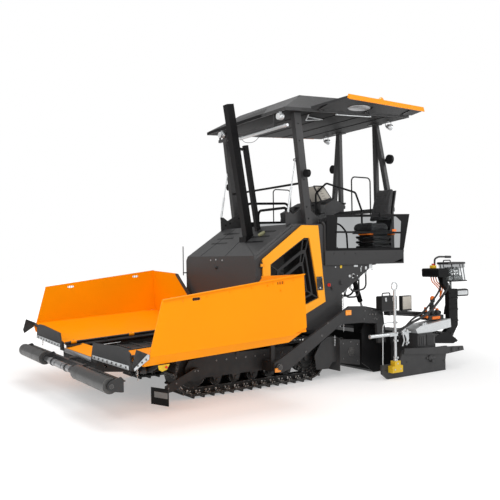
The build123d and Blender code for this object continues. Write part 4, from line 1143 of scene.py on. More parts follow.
def door_latch(shape):
    """Flush latch in the recess of the side door."""
    y = door_side - 0.008
    shape.box((-1.031, y, 1.194), (-0.964, y + 0.009, 1.326), 0.002)
    shape.side_plate(((-0.935, 1.345), (-1.03, 1.345), (-1.046, 1.17), (-0.945, 1.17)), y + 0.0075,
                     1, 0.003, 0.001)
    shape.box((-1.02, y + 0.01, 1.23), (-0.976, y + 0.014, 1.316), 0.0018)
    shape.pipe([(-1.012, y + 0.01, 1.244), (-1.012, y + 0.02, 1.25), (-1.012, y + 0.02, 1.3),
                (-1.012, y + 0.01, 1.306)], 0.006, 0.004, 8)


def door_latch_bits(shape):
    """Bright key barrel and screws of the door latch."""
    y = door_side - 0.003
    shape.peg((-0.99, y, 1.198), 0.012, 0.011, rounded=0.0015)
    for x in (-1.022, -0.955):
        for z in (1.186, 1.33):
            shape.bolt((x, y + 0.006, z), (0, 1, 0), 0.0055)


def door_screws(shape):
    """Screws of the door's hinges."""
    for z in (0.97, 0.99, 1.5, 1.52):
        shape.bolt((-0.112, door_side, z), (0, 1, 0), 0.008)


class PAVER_OT_hood(bpy.types.Operator):
    """Fit seams, vents, locks and the filler to the hood, and latches to its doors"""
    bl_idname = "paver.hood"
    bl_label = "Hood and door fittings"

    def execute(self, context):
        fit("chassis", (
            (hood_seams, "black"), (hood_screws, "galvanised"), (hood_locks, "black plastic"),
            (hood_louvres, "black"), (filler_cap, "olive cap")))
        fit_pair("door_{}", (
            (door_latch, "black plastic"), (door_latch_bits, "galvanised"),
            (door_screws, "door yellow")))
        return {"FINISHED"}


# Roof fittings

LAMP_Y = (-0.577, 0.857)
LAMP_Z = 3.388
REAR_LAMP_Y = (-0.7, 0.7)


def front_lamp_lenses(shape):
    """Lenses of the lamps under the roof's front edge."""
    for y in LAMP_Y:
        shape.rod((-0.405, y, LAMP_Z), (-0.4, y, LAMP_Z), 0.035, rounded=0.002)


def front_lamp_rims(shape):
    """Rims and cooling ribs of the front lamps, and the clips of the light tube."""
    for y in LAMP_Y:
        shape.ring((-0.402, y, LAMP_Z), (1, 0, 0), 0.038, 0.004, 28, 8)
        for offset in (0.012, 0.024, 0.036):
            shape.ring((-0.47 + offset, y, LAMP_Z), (1, 0, 0), 0.043, 0.003, 24, 6)
    for y in (-0.13, 0.2, 0.55, 0.9):
        shape.ring((-0.47, y, 3.266), (0, 1, 0), 0.021, 0.003, 20, 6)


def roof_wires(shape):
    """Cables that hang in shallow bows under the roof's front."""
    shape.hose([(-0.5, -0.3, 3.415), (-0.5, -0.26, 3.36), (-0.5, -0.163, 3.296),
                (-0.5, -0.059, 3.21), (-0.5, 0.147, 3.178), (-0.5, 0.288, 3.223),
                (-0.5, 0.37, 3.29), (-0.5, 0.4, 3.4)], 0.0035, 8)
    for y in (-0.42, -0.3):
        shape.hose([(-0.47, y, 3.43), (-0.45, y - 0.02, 3.36), (-0.46, y - 0.05, 3.27),
                    (-0.5, y - 0.06, 3.2), (-0.53, y - 0.03, 3.15)], 0.006, 8)


def roof_seams(shape):
    """Bolts and folded seams of the roof shell."""
    for side in BOTH:
        for place in along((-0.6, side * 0.982, 3.47), (-2.6, side * 0.982, 3.47), 9):
            if abs(place.x + 1.8) > 0.08 and abs(place.x + 1.0) > 0.08:
                shape.bolt(place, (0, side, 0), 0.008)
    shape.bolt_row((-0.428, -0.9, 3.47), (-0.428, 0.9, 3.47), 8, (1, 0, 0), 0.008)
    for x, z in ((-0.88, 3.7125), (-2.41, 3.7125)):
        shape.tube([(x, -0.73, z), (x, 0.73, z)], 0.003, 6)
    for side in BOTH:
        shape.tube([(-0.46, side * 0.96, 3.492), (-0.88, side * 0.731, 3.713)], 0.003, 6)
        shape.tube([(-2.64, side * 0.96, 3.492), (-2.41, side * 0.731, 3.713)], 0.003, 6)


def roof_rails(shape):
    """Bright rails and struts under the roof."""
    shape.rod((-1.3, 0.93, 3.44), (-1.95, 0.93, 3.44), 0.009, sides=14)
    for x in (-1.32, -1.93):
        shape.box((x - 0.015, 0.918, 3.436), (x + 0.015, 0.942, 3.46), 0.003)
    shape.rod((-0.95, 0.78, 3.42), (-1.35, 0.6, 3.435), 0.006, sides=14)
    shape.rod((-0.95, 0.74, 3.38), (-1.35, 0.56, 3.44), 0.006, sides=14)
    shape.rod((-0.95, 0.735, 3.38), (-0.95, 0.8, 3.45), 0.007, sides=14)


def roof_lining(shape):
    """Dark lining that closes the roof's underside between its ribs."""
    shape.box((-2.63, -0.945, 3.4455), (-0.462, 0.945, 3.4505), 0.0015)
    for x in (-0.9, -1.35, -1.8, -2.2):
        shape.box((x - 0.01, -0.93, 3.438), (x + 0.01, 0.93, 3.446), 0.002)


def roof_front_painted_shade(shape):
    """Painted shade: a dark sheet over the shaded part of the roof's front slope and rim."""
    foot, crown = Vector((-0.43, 0, 3.49)), Vector((-0.88, 0, 3.712))
    points = [foot.lerp(crown, share) + Vector((0, y, 0)) for y, share in
              ((-0.93, 0.01), (-0.9, 0.12), (-0.1, 0.5), (0.2, 0.62), (0.5, 0.01))]
    shape.plate(points, (0.442, 0, 0.897), 0.003)
    shape.box((-0.4295, -0.97, 3.453), (-0.4265, 0.46, 3.489))


def front_crossbar(shape):
    """Bar between the two front posts."""
    shape.peg((-0.79, -0.812, 2.565), 1.624, 0.015, sides=16)


def rear_lamps(shape):
    """Work lamps under the roof's rear edge."""
    for y in REAR_LAMP_Y:
        shape.rod((-2.5, y, 3.37), (-2.57, y, 3.355), 0.03, 0.048, rounded=0.003)
        shape.pipe([(-2.52, y - 0.055, 3.37), (-2.52, y - 0.055, 3.425), (-2.52, y + 0.055, 3.425),
                    (-2.52, y + 0.055, 3.37)], 0.015, 0.006, 8)
        shape.post((-2.52, y, 3.42), 0.035, 0.009, sides=14)


def rear_lamp_lenses(shape):
    """Lenses of the rear work lamps."""
    for y in REAR_LAMP_Y:
        shape.rod((-2.57, y, 3.355), (-2.576, y, 3.3537), 0.042, rounded=0.002)


def flap_lamp(shape):
    """Oval lamp recessed in the flap's lining."""
    middle = Vector((-1.52, 0.16, -0.0155))
    outline = spread(Vector((0.19, 0, 0)), Vector((0, 0.085, 0)), 40)
    shape.skin([[middle + out * reach + Vector((0, 0, drop)) for out in outline]
                for reach, drop in ((1.0, 0.0), (0.96, -0.007), (0.7, -0.013), (0.35, -0.016))])


def flap_ribs(shape):
    """Ribs and bolts under the flap, clear of its lining."""
    for x in (-1.0, -1.8, -2.5):
        shape.box((x + 0.06, 0.045, -0.024), (x + 0.09, 0.2, -0.014), 0.003)
        for v in (0.07, 0.17):
            shape.bolt((x + 0.075, v, -0.024), (0, 0, -1), 0.009)


BEACON = (-1.82, 0.284)
BEACON_FOOT_TOP = 0.03


def flap_beacon_foot(shape):
    """Black foot of the beacon on the flap."""
    shape.rod((*BEACON, 0.014), (*BEACON, BEACON_FOOT_TOP), 0.045, rounded=0.002)


def flap_beacon(shape):
    """Amber beacon on top of the flap."""
    shape.dome((*BEACON, BEACON_FOOT_TOP), 0.041, 0.07)


def post_bolts(shape):
    """Bolts on the posts and the roof's lift links."""
    for side in BOTH:
        y = side * 0.891
        shape.bolts(((-0.845, 2.1), (-0.82, 2.25), (-0.78, 2.6), (-0.72, 3.1), (-0.7, 3.32)), y,
                    side, 0.011)
        inner = side * 0.798
        shape.bolts(((-0.62, 2.09), (-0.7, 2.12), (-0.94, 2.09), (-1.02, 2.08), (-0.86, 2.2)),
                    inner, -side, 0.014)
    for y in (-0.64, 0.64):
        for z in (1.75, 2.0, 2.2):
            shape.bolt((-2.56, y, z), (1, 0, 0), 0.011)


class PAVER_OT_roof(bpy.types.Operator):
    """Fit lamps, wires, rails, seams and beacons to the roof and its flaps"""
    bl_idname = "paver.roof"
    bl_label = "Roof fittings"

    def execute(self, context):
        fit("chassis", (
            (front_lamp_lenses, "clear lens"), (front_lamp_rims, "galvanised"),
            (roof_seams, "roof plastic"), (roof_rails, "galvanised"), (roof_lining, "roof lining"),
            (rear_lamps, "galvanised"), (rear_lamp_lenses, "clear lens"),
            (roof_front_painted_shade, "black")), roof_turn)
        fit("chassis", ((roof_wires, "black plastic"), (post_bolts, "black"),
                        (front_crossbar, "black")))
        fit_pair("visor_{}", (
            (flap_lamp, "brushed alloy"), (flap_ribs, "black"), (flap_beacon_foot, "black plastic"),
            (flap_beacon, "amber lens")), flap_turn)
        return {"FINISHED"}


# Operator's platform

def steering_wheel(shape):
    """Steering wheel on its short column behind the desk."""
    centre, lean = Vector((-1.84, -0.29, 2.54)), Vector((-0.42, 0, 0.9)).normalized()
    shape.ring(centre, lean, 0.135, 0.0125, 36, 12)
    hub = centre - lean * 0.035
    shape.rod(hub - lean * 0.02, hub + lean * 0.018, 0.036, rounded=0.004)
    side = lean.orthogonal().normalized()
    for step in range(3):
        spoke = Matrix.Rotation(math.tau * step / 3, 3, lean) @ side
        shape.tube(curved([hub + spoke * 0.03, hub + spoke * 0.08 + lean * 0.012,
                           centre + spoke * 0.13], 4), 0.008, 8)
    shape.rod(hub, Vector((-1.72, -0.29, 2.36)), 0.022, 0.03)
    shape.rod(centre + side * 0.135, centre + side * 0.135 + lean * 0.045, 0.014, 0.017,
              rounded=0.003)


def desk_levers(shape):
    """Drive levers, armrest grips and the switches on the desk."""
    for y in (-0.36, 0.08, 0.39):
        foot = Vector((-1.72, y, 2.4))
        shape.rod(foot, foot + Vector((0, 0, 0.02)), 0.034, 0.02)
        shape.tube(curved([foot, foot + Vector((-0.005, 0, 0.06)), foot + Vector((-0.02, 0, 0.11))],
                          4), 0.008, 10)
        shape.rod(foot + Vector((-0.02, 0, 0.105)), foot + Vector((-0.032, 0, 0.175)), 0.017, 0.022,
                  rounded=0.005)
    for index in range(12):
        column, row = index % 6, index // 6
        place = Vector((-1.8 - row * 0.045, -0.2 + column * 0.05, 2.378 - row * 0.02))
        shape.rod(place, place + Vector((-0.004, 0, 0.014)), 0.011, rounded=0.002)
    for y in (-0.41, 0.41):
        shape.pipe([(-1.86, y, 2.33), (-1.93, y, 2.37), (-1.93, y * 0.55, 2.37),
                    (-1.86, y * 0.55, 2.33)], 0.03, 0.011, 10)


def desk_boxes(shape):
    """Housings, cable ducts and the bellows round the desk's foot."""
    shape.box((-1.62, -0.4, 2.27), (-1.42, -0.16, 2.345), 0.012)
    shape.box((-1.6, -0.12, 2.33), (-1.52, 0.14, 2.36), 0.006)
    shape.box((-1.46, 0.44, 2.2), (-1.38, 0.5, 2.33), 0.01)
    for step in range(6):
        z = deck_top + 0.04 + step * 0.09
        shape.pipe([(-1.43, 0, z), (-1.43, 0.15, z), (-1.65, 0.15, z), (-1.65, -0.15, z),
                    (-1.43, -0.15, z), (-1.43, 0, z)], 0.03, 0.008, 8)
    for y in (-0.1, 0.1):
        shape.hose([(-1.45, y, deck_top + 0.01), (-1.38, y, deck_top + 0.12), (-1.39, y * 1.4, 2.0),
                    (-1.44, y * 1.6, 2.25)], 0.014, 10)


def display_shell(shape):
    """Pale shell of the operator's display."""
    outline = [(-1.352, 2.584), (-1.497, 2.589), (-1.633, 2.44), (-1.478, 2.395)]
    for y, turn in ((0.41, 1), (0.2, -1)):
        shape.plate([(x, y, z) for x, z in outline], (0, turn, 0), 0.006, 0.002)
    shape.plate([(-1.335, 0.212, 2.583), (-1.335, 0.398, 2.583), (-1.463, 0.398, 2.388),
                 (-1.463, 0.212, 2.388)], (0.84, 0, -0.54), 0.006, 0.002)


def display_bezel(shape):
    """Dark rim, hood and vents of the display."""
    loop = [(-1.335, 2.592), (-1.501, 2.599), (-1.655, 2.43), (-1.469, 2.378), (-1.335, 2.592)]
    for y in (0.2, 0.41):
        shape.tube([(x, y, z) for x, z in loop], 0.008, 8)
    for step in range(5):
        x, z = -1.40 - step * 0.026, 2.553 - step * 0.033
        shape.tube([(x, 0.4175, z), (x - 0.05, 0.4175, z + 0.006)], 0.003, 6)


def display_glass(shape):
    """Screens of the display and of the tilted panel."""
    shape.plate([(-1.508, 0.215, 2.59), (-1.508, 0.395, 2.59), (-1.652, 0.395, 2.434),
                 (-1.652, 0.215, 2.434)], (-0.73, 0, 0.68), 0.004, 0.001)
    shape.plate([(-1.651, -0.08, 2.418), (-1.651, 0.12, 2.418), (-1.688, 0.12, 2.565),
                 (-1.688, -0.08, 2.565)], (-0.97, 0, -0.24), 0.004, 0.001)


def tread_bar(shape, x, y, z, slant, half, near, far):
    """One slanting bar of a tread plate; near and far set the width of its two ends."""
    shape.plate([(x - near, y - half, z), (x + slant, y + half, z), (x + far + slant, y + half, z),
                 (x + 0.003, y - half, z)], (0, 0, 1), 0.003)


def deck_tread(shape):
    """Raised bars of the platform's tread plate."""
    for row in range(17):
        for column in range(13):
            x, y = -1.2 - row * 0.08, -0.84 + column * 0.14
            under_seat = abs(y) > 0.45 and -2.42 < x < -1.98
            under_desk = abs(y) < 0.17 and -1.67 < x < -1.41
            if under_seat or under_desk:
                continue
            tread_bar(shape, x, y, deck_top, 0.018 * (-1) ** (row + column + 1), 0.018, 0.003,
                      0.006)


def screen_front_panels(shape, side):
    """Dark panels between the hood and the wind screens' frames."""
    y = side * (door_side - 0.018)
    shape.side_plate(((-1.115, 1.68), (-1.275, 1.68), (-1.305, 2.155), (-1.16, 2.15),
                      (-1.115, 2.06)), y, side, 0.012, 0.002)


def screen_pipes(shape, side):
    """Grey pipe between the post's foot and the deck."""
    y = side * (door_side - 0.022)
    shape.pipe([(-1.105, y, 1.655), (-1.105, y, 2.02), (-1.06, y, 2.06)], 0.03, 0.016, 12)


def screen_clips(shape, side):
    """Clips and screws that hold the wind screens."""
    y = side * door_side
    shape.bolts(((-1.3, 2.14), (-1.3, 1.72), (-1.9, 2.158), (-1.9, 1.7), (-2.55, 1.72),
                 (-2.65, 2.17), (-2.6, 1.93)), y, side, 0.009)
    for x in (-1.75, -2.1):
        shape.box((x - 0.02, y - 0.006, 2.145), (x + 0.02, y + 0.01, 2.205), 0.004)


def screen_markers(shape, side):
    """Orange marker on the screen's rail beside the seat."""
    shape.box((-2.41, side * door_side - 0.002, 1.944), (-2.33, side * door_side + 0.006, 1.976),
              0.003)


def screen_edges(shape, side):
    """Black covers on the wind screen's front and rear ends."""
    y = side * (door_side + 0.0005)
    shape.side_plate(((-1.105, 1.69), (-1.25, 1.69), (-1.285, 2.158), (-1.12, 2.15)), y, side,
                     0.003)
    shape.side_plate(((-2.39, 2.17), (-2.51, 2.09), (-2.475, 1.7), (-2.56, 1.7), (-2.685, 2.195),
                      (-2.4, 2.187)), y, side, 0.003)


def entry_rails(shape, side):
    """Bent hand rails inside the wind screens."""
    y = side * 0.86
    shape.pipe([(-1.29, y, 2.05), (-1.41, y, 2.035), (-1.525, y, 1.93), (-1.54, y, 1.68)], 0.06,
               0.012, 12)


class PAVER_OT_platform(bpy.types.Operator):
    """Fit the steering wheel, levers, display and deck tread of the operator's platform"""
    bl_idname = "paver.platform"
    bl_label = "Platform fittings"

    def execute(self, context):
        fit("chassis", ((steering_wheel, "black plastic"), (desk_levers, "black plastic"),
                        (desk_boxes, "black plastic"), (display_shell, "beige plastic"),
                        (display_bezel, "black plastic"), (display_glass, "dark glass"),
                        (deck_tread, "charcoal")))
        fit_both("chassis", (
            (screen_front_panels, "black"), (screen_pipes, "charcoal"), (screen_clips, "black"),
            (screen_markers, "orange plastic"), (screen_edges, "black"), (entry_rails, "black")))
        return {"FINISHED"}


# Rear housing and its fittings

def blank_labels(shape, side):
    """Blank yellow labels on the housing."""
    y = side * housing_side
    shape.box((-1.402, y, 1.446), (-1.366, y + side * 0.002, 1.484), 0.0008)


def housing_knobs(shape, side):
    """Black knobs and caps on the housing's sides."""
    y = side * housing_side
    for x, z, radius in ((-1.378, 1.255, 0.026), (-1.224, 1.186, 0.022), (-1.62, 1.327, 0.02)):
        shape.peg((x, y, z), side * 0.018, radius, radius * 0.85, rounded=0.003)
        shape.peg((x, y, z), side * 0.006, radius * 1.35, rounded=0.001)


def battery_switches(shape, side):
    """Red battery switch on the housing's sides."""
    y = side * housing_side
    shape.peg((-1.163, y, 1.229), side * 0.012, 0.024, 0.02, rounded=0.002)
    shape.box((-1.169, y, 1.209), (-1.157, y + side * 0.03, 1.249), 0.003)


def housing_plates(shape, side):
    """Small pale plates, sockets and screws on the housing's sides."""
    y = side * housing_side
    for x, z, wide, high in ((-1.65, 1.47, 0.035, 0.012), (-1.926, 1.462, 0.03, 0.03),
                             (-1.838, 1.438, 0.018, 0.02), (-1.535, 1.336, 0.016, 0.016),
                             (-1.743, 1.417, 0.007, 0.03)):
        shape.box((x - wide, y, z - high), (x + wide, y + side * 0.004, z + high), 0.001)
    for x, z in ((-1.284, 1.462), (-1.674, 1.337), (-1.583, 1.311), (-1.754, 1.459),
                 (-1.951, 1.416)):
        shape.peg((x, y, z), side * 0.006, 0.009, rounded=0.0015)
    shape.ring((-1.6, y + side * 0.004, 1.335), (0, 1, 0), 0.028, 0.004, 24, 8)


def housing_bolts(shape, side):
    """Bolts along the platform's side band."""
    shape.bolt_row((-1.15, side * door_side, 1.64), (-2.5, side * door_side, 1.64), 7, (0, side, 0),
                   0.008)
    shape.bolt_row((-1.14, side * housing_side, 1.35), (-1.14, side * housing_side, 0.75), 5,
                   (0, side, 0), 0.009)


def arm_chains(shape, side):
    """Chains that hang beside the tow arms."""
    shape.chain((-1.36, side * 0.955, 1.09), (-1.36, side * 0.955, 0.6))


def auger_chains(shape, side):
    """Short chains that hang over the augers."""
    shape.chain((-1.215, side * 0.94, 0.563), (-1.215, side * 0.94, 0.43))


def hose_ends(shape, side):
    """Ends of the hanging hoses, where they meet the housing."""
    for x, y, z in ((-1.79, 0.8, 1.33), (-1.523, 0.8, 1.165), (-1.895, 0.83, 1.4),
                    (-1.6, 0.83, 1.21)):
        shape.rod((x, side * y, z - 0.03), (x, side * y, z + 0.03), 0.019, sides=6)
        shape.rod((x, side * y, z - 0.055), (x, side * y, z - 0.03), 0.0155, sides=20)


def inner_hoses(shape, side):
    """Further hoses between the housing and the screed's drive."""
    shape.hose([(-1.75, side * 0.72, 1.36), (-1.78, side * 0.73, 1.2), (-1.7, side * 0.74, 1.08),
                (-1.56, side * 0.73, 1.06), (-1.48, side * 0.72, 1.14), (-1.45, side * 0.71, 1.2)],
               0.013, 10)
    shape.hose([(-1.62, side * 0.66, 1.28), (-1.68, side * 0.66, 1.14), (-1.6, side * 0.65, 1.02),
                (-1.46, side * 0.64, 1.02), (-1.38, side * 0.62, 1.16)], 0.011, 10)


class PAVER_OT_housing(bpy.types.Operator):
    """Fit labels, knobs, chains and hose ends to the rear housing"""
    bl_idname = "paver.housing"
    bl_label = "Housing fittings"

    def execute(self, context):
        fit_both("chassis", (
            (blank_labels, "safety yellow"), (housing_knobs, "black plastic"),
            (battery_switches, "red plastic"), (housing_plates, "galvanised"),
            (housing_bolts, "charcoal"), (hose_ends, "galvanised"), (inner_hoses, "rubber"),
            (arm_chains, "galvanised"), (auger_chains, "galvanised")))
        return {"FINISHED"}


# Undercarriage

WHEEL_X = 0.83
AXIS_Z = 0.3
LOOP_RADIUS = 0.275
SHOES = 38
PIN_REACH, SHOE_REACH = 0.232, 0.254
ROLLER_Z, CARRIER_Z = 0.17, 0.455
FRAME_FACE = 0.83
SPROCKET_FACE = 0.81
IDLER_FACE = 0.889
TOW_PIN = (-0.2, 0.27)


def loop_place(share, reach):
    """A point on the track loop and the direction out of it, at a share of its length."""
    arc = math.pi * LOOP_RADIUS
    run = 2 * WHEEL_X
    distance = (share % 1) * 2 * (run + arc)
    if distance < run:
        return Vector((WHEEL_X - distance, 0, AXIS_Z - reach)), Vector((0, 0, -1))
    if distance < run + arc:
        angle = (distance - run) / LOOP_RADIUS
        out = Vector((-math.sin(angle), 0, -math.cos(angle)))
        return Vector((-WHEEL_X, 0, AXIS_Z)) + out * reach, out
    if distance < 2 * run + arc:
        return Vector((distance - run - arc - WHEEL_X, 0, AXIS_Z + reach)), Vector((0, 0, 1))
    angle = (distance - 2 * run - arc) / LOOP_RADIUS
    out = Vector((math.sin(angle), 0, math.cos(angle)))
    return Vector((WHEEL_X, 0, AXIS_Z)) + out * reach, out


def track_pins(shape, side):
    """Ends of the track's link pins, on both sides of the links."""
    for index in range(SHOES):
        for offset, radius in ((0.28, 0.014), (0.62, 0.009)):
            place = loop_place((index + offset) / SHOES, PIN_REACH)[0]
            for edge, turn in ((0.79, 1), (0.68, -1)):
                shape.peg((place.x, side * edge, place.z), side * turn * 0.009, radius,
                          radius * 0.85, sides=12)


def shoe_bolts(shape, side):
    """Bolts that hold the shoes to the links."""
    for index in range(SHOES):
        for offset in (0.2, 0.45):
            place, out = loop_place((index + offset) / SHOES, SHOE_REACH)
            for y in (0.66, 0.81, 0.85):
                foot = Vector((place.x, side * y, place.z))
                shape.rod(foot, foot - out * 0.012, 0.0095, sides=6)


def hub_covers(shape, side):
    """Hub covers, their bolts and the axle ends on the tracks' outer plates."""
    y = side * FRAME_FACE
    for x in (-0.52, -0.26, 0, 0.26, 0.52):
        shape.peg((x, y, ROLLER_Z), side * 0.012, 0.03, 0.026, rounded=0.003)
        shape.bolt_circle((x, y, ROLLER_Z), 0.042, 4, side, 0.007, 0.5)
    for x in (-0.3, 0.25):
        shape.peg((x, y, CARRIER_Z), side * 0.012, 0.02, rounded=0.003)
    sprocket = side * SPROCKET_FACE
    shape.bolt_circle((-WHEEL_X, sprocket, AXIS_Z), 0.085, 10, side, 0.011)
    shape.peg((-WHEEL_X, sprocket, AXIS_Z), side * 0.02, 0.05, 0.042, rounded=0.004)
    idler = side * IDLER_FACE
    shape.bolt_circle((WHEEL_X, idler, AXIS_Z), 0.034, 6, side, 0.009)


def frame_bolts(shape, side):
    """Bolts along the track frames and the tow bracket."""
    shape.bolt_row((-0.5, side * FRAME_FACE, 0.4), (0.6, side * FRAME_FACE, 0.4), 8, (0, side, 0),
                   0.012)
    shape.bolts(((-0.25, 0.205), (-0.15, 0.205), (-0.25, 0.3), (-0.15, 0.3)), side * FRAME_FACE,
                side, 0.014)
    for x in (0.82, 0.86, 1.1, 1.2):
        shape.bolt((x, side * 0.902, 0.32 - max(0, x - 0.86) * 0.46), (0, side, 0), 0.011)


def sprocket_teeth(shape, side):
    """Teeth of the sprockets between the links."""
    for out in spread(Vector((1, 0, 0)), Vector((0, 0, 1)), 15):
        cross = Vector((-out.z, 0, out.x))
        centre = Vector((-WHEEL_X, side * 0.792, AXIS_Z))
        shape.plate([centre + out * 0.15 - cross * 0.022, centre + out * 0.19 - cross * 0.01,
                     centre + out * 0.19 + cross * 0.01, centre + out * 0.15 + cross * 0.022],
                    (0, side, 0), 0.012)


def arm_reflectors(shape, side):
    """Amber reflectors on the tow arms."""
    y = side * arm_side
    shape.box((-1.392, y, 0.83), (-1.293, y + side * 0.008, 0.896), 0.003)


def frame_reflectors(shape, side):
    """Amber reflectors beside the tow bracket."""
    y = side * 1.09
    shape.box((-0.214, y, 0.218), (-0.127, y + side * 0.008, 0.268), 0.003)


def track_inner_shade_sheets(shape, side):
    """Black plates behind the rollers that close each track's inside; their black is painted shade.
    """
    shape.box((-0.6, side * 0.6335, 0.085), (0.74, side * 0.6385, 0.225))


def deflector_sheets(shape, side):
    """Black facing of the deflector plates ahead of the tracks."""
    shape.plate(deflector_face(side, 0.0, 1.0, 0.046, 0.224, 0.0005), deflector_out(side), 0.002)


def deflector_out(side):
    """Direction that the deflector's front faces."""
    return Vector((0.934, side * 0.358, 0))


def deflector_face(side, start, end, low, high, lift):
    """Four corners on the deflector's front face, between shares of its width."""
    inner, outer = Vector((1.451, side * 0.989, 0)), Vector((1.361, side * 1.224, 0))
    out = deflector_out(side) * lift
    first, last = inner.lerp(outer, start) + out, inner.lerp(outer, end) + out
    return [point + Vector((0, 0, z)) for point, z in
            ((first, low), (last, low), (last, high), (first, high))]


def deflector_labels(shape, side):
    """Blank plates on the deflectors."""
    shape.plate(deflector_face(side, 0.2, 0.97, 0.124, 0.186, 0.003), deflector_out(side), 0.001)


def arm_bolts(shape, side):
    """Bolts on the tow arms where the screed is fixed to them."""
    shape.bolts(((-1.639, 0.871), (-1.768, 0.873), (-1.832, 0.812), (-1.779, 0.816),
                 (-1.856, 0.745), (-1.817, 0.757), (-1.623, 0.76), (-1.728, 0.819), (-0.987, 0.749),
                 (-0.889, 0.6), (-0.62, 0.42), (-1.93, 0.55), (-1.95, 0.47)), side * arm_side, side,
                0.014)


def rail_covers(shape, side):
    """Dark covers over the rails behind the tow arms, with their ribs."""
    y = side * 1.15
    shape.side_plate(((-1.995, 0.862), (-2.665, 0.795), (-2.675, 0.728), (-1.995, 0.796)), y, side,
                     0.008, 0.002)
    for drop in (0.018, 0.052):
        shape.tube([(-1.99, y + side * 0.012, 0.858 - drop),
                    (-2.68, y + side * 0.012, 0.79 - drop)], 0.006, 8)


def tow_pin_nuts(shape, side):
    """Washer and nut on each tow pin."""
    x, z = TOW_PIN
    shape.peg((x, side * 1.084, z), side * 0.006, 0.045, rounded=0.001)
    shape.peg((x, side * 1.084, z), side * 0.024, 0.033, sides=6)


class PAVER_OT_undercarriage(bpy.types.Operator):
    """Fit pins, bolts, hub covers and teeth to the tracks, and reflectors to the tow arms"""
    bl_idname = "paver.undercarriage"
    bl_label = "Undercarriage fittings"

    def execute(self, context):
        fit_both("chassis", ((track_pins, "bright steel"), (shoe_bolts, "bright steel"),
                             (hub_covers, "dark charcoal"), (frame_bolts, "steel"),
                             (sprocket_teeth, "track steel"), (tow_pin_nuts, "steel"),
                             (track_inner_shade_sheets, "black"), (deflector_sheets, "black"),
                             (deflector_labels, "grey plastic")))
        fit_both("screed", (
            (frame_reflectors, "amber lens"), (arm_reflectors, "amber lens"), (arm_bolts, "steel"),
            (rail_covers, "dark charcoal")))
        return {"FINISHED"}


# Screed fittings

POLE = (-1.795, 1.46)
STOP = (-2.787, 1.255)


def end_plate_bosses(shape):
    """Pivot boss, lock bolt and screws on the end plate."""
    y = plate_side
    shape.peg((-2.95, y + 0.018, 0.275), 0.014, 0.038, rounded=0.004)
    shape.peg((-3.09, y + 0.018, 0.275), 0.012, 0.022, rounded=0.003)
    shape.peg((-2.49, y, 0.2), 0.02, 0.034, rounded=0.003)
    shape.peg((-2.52, y, 0.155), 0.04, 0.02, rounded=0.003)
    for x, z in ((-2.049, 0.189), (-2.78, 0.13), (-1.66, 0.12), (-2.9, 0.27), (-3.0, 0.275)):
        shape.bolt((x, y + (0.019 if x < -2.85 else 0), z), (0, 1, 0), 0.013)
    shape.box((-2.6, y - 0.001, 0.185), (-2.42, y + 0.012, 0.215), 0.004)


def extension_panels(shape):
    """Cover panels with ribs on the extension's outer side."""
    y = plate_side - 0.03
    for start, end in ((-2.28, -2.44), (-2.47, -2.63)):
        shape.box((end, y - 0.001, 0.365), (start, y + 0.012, 0.515), 0.006)
        for step in range(1, 4):
            x = start + (end - start) * step / 4
            shape.box((x - 0.004, y + 0.01, 0.38), (x + 0.004, y + 0.017, 0.5), 0.002)


def silver_clamps(shape):
    """Pipe clamps, lever and brackets at the front of the extension."""
    y = 1.37
    shape.box((-2.16, y - 0.16, 0.57), (-2.0, y + 0.03, 0.585), 0.004)
    shape.side_plate(((-2.0, 0.6), (-2.07, 0.63), (-2.13, 0.575), (-2.135, 0.49), (-2.1, 0.4),
                      (-2.075, 0.405), (-2.09, 0.49), (-2.06, 0.545), (-2.0, 0.55)), y, 1, 0.018,
                     0.003)
    shape.rod((-2.08, y - 0.1, 0.6), (-2.08, y + 0.045, 0.6), 0.017, rounded=0.003)
    shape.rod((-2.1, y - 0.02, 0.44), (-2.1, y + 0.04, 0.44), 0.014, rounded=0.002)
    shape.pipe([(-2.012, y + 0.022, 0.56), (-2.035, y + 0.022, 0.47), (-2.0, y + 0.022, 0.40)],
               0.02, 0.009, 10)
    for x, z in ((-2.44, 0.645), (-2.48, 0.65)):
        shape.peg((x, 1.30, z), 0.072, 0.022, rounded=0.003)
        shape.ring((x, 1.374, z), (0, 1, 0), 0.024, 0.005, 20, 8)


def pole_clamps(shape):
    """Clamps on the pole and the bent rod in front of it."""
    x, y = POLE
    for z in (0.735, 0.6, 0.5, 0.28):
        shape.rod((x, y, z - 0.012), (x, y, z + 0.012), 0.026, rounded=0.003)
        shape.box((x - 0.012, y + 0.018, z - 0.011), (x + 0.012, y + 0.045, z + 0.011), 0.003)
    shape.pipe([(-1.617, 1.407, 0.188), (-1.6, 1.435, 0.7), (-1.64, 1.44, 0.735),
                (-1.777, 1.455, 0.735)], 0.03, 0.0065, 10)
    shape.rod((-1.34, y, 0.582), (-1.352, y, 0.582), 0.026, rounded=0.002)


def screed_hoses(shape):
    """Hoses from the main screed, over the extension, up to the control box."""
    shape.hose([(-1.876, 1.35, 0.46), (-1.9, 1.35, 0.53), (-1.956, 1.35, 0.589),
                (-2.231, 1.35, 0.69), (-2.435, 1.34, 0.747), (-2.65, 1.33, 0.84),
                (-2.816, 1.32, 0.951), (-2.92, 1.32, 1.04), (-2.985, 1.33, 1.12),
                (-2.99, 1.34, 1.2)], 0.017, 12)
    shape.hose([(-2.02, 1.31, 0.5), (-2.1, 1.31, 0.6), (-2.3, 1.3, 0.73), (-2.5, 1.29, 0.8),
                (-2.7, 1.28, 0.93), (-2.86, 1.27, 1.06), (-2.93, 1.26, 1.16), (-2.9, 1.25, 1.29)],
               0.013, 12)
    shape.hose([(-3.0, 1.26, 0.75), (-3.05, 1.25, 0.88), (-3.13, 1.25, 0.97), (-3.12, 1.26, 1.09),
                (-3.0, 1.28, 1.2), (-2.92, 1.29, 1.28)], 0.012, 10)


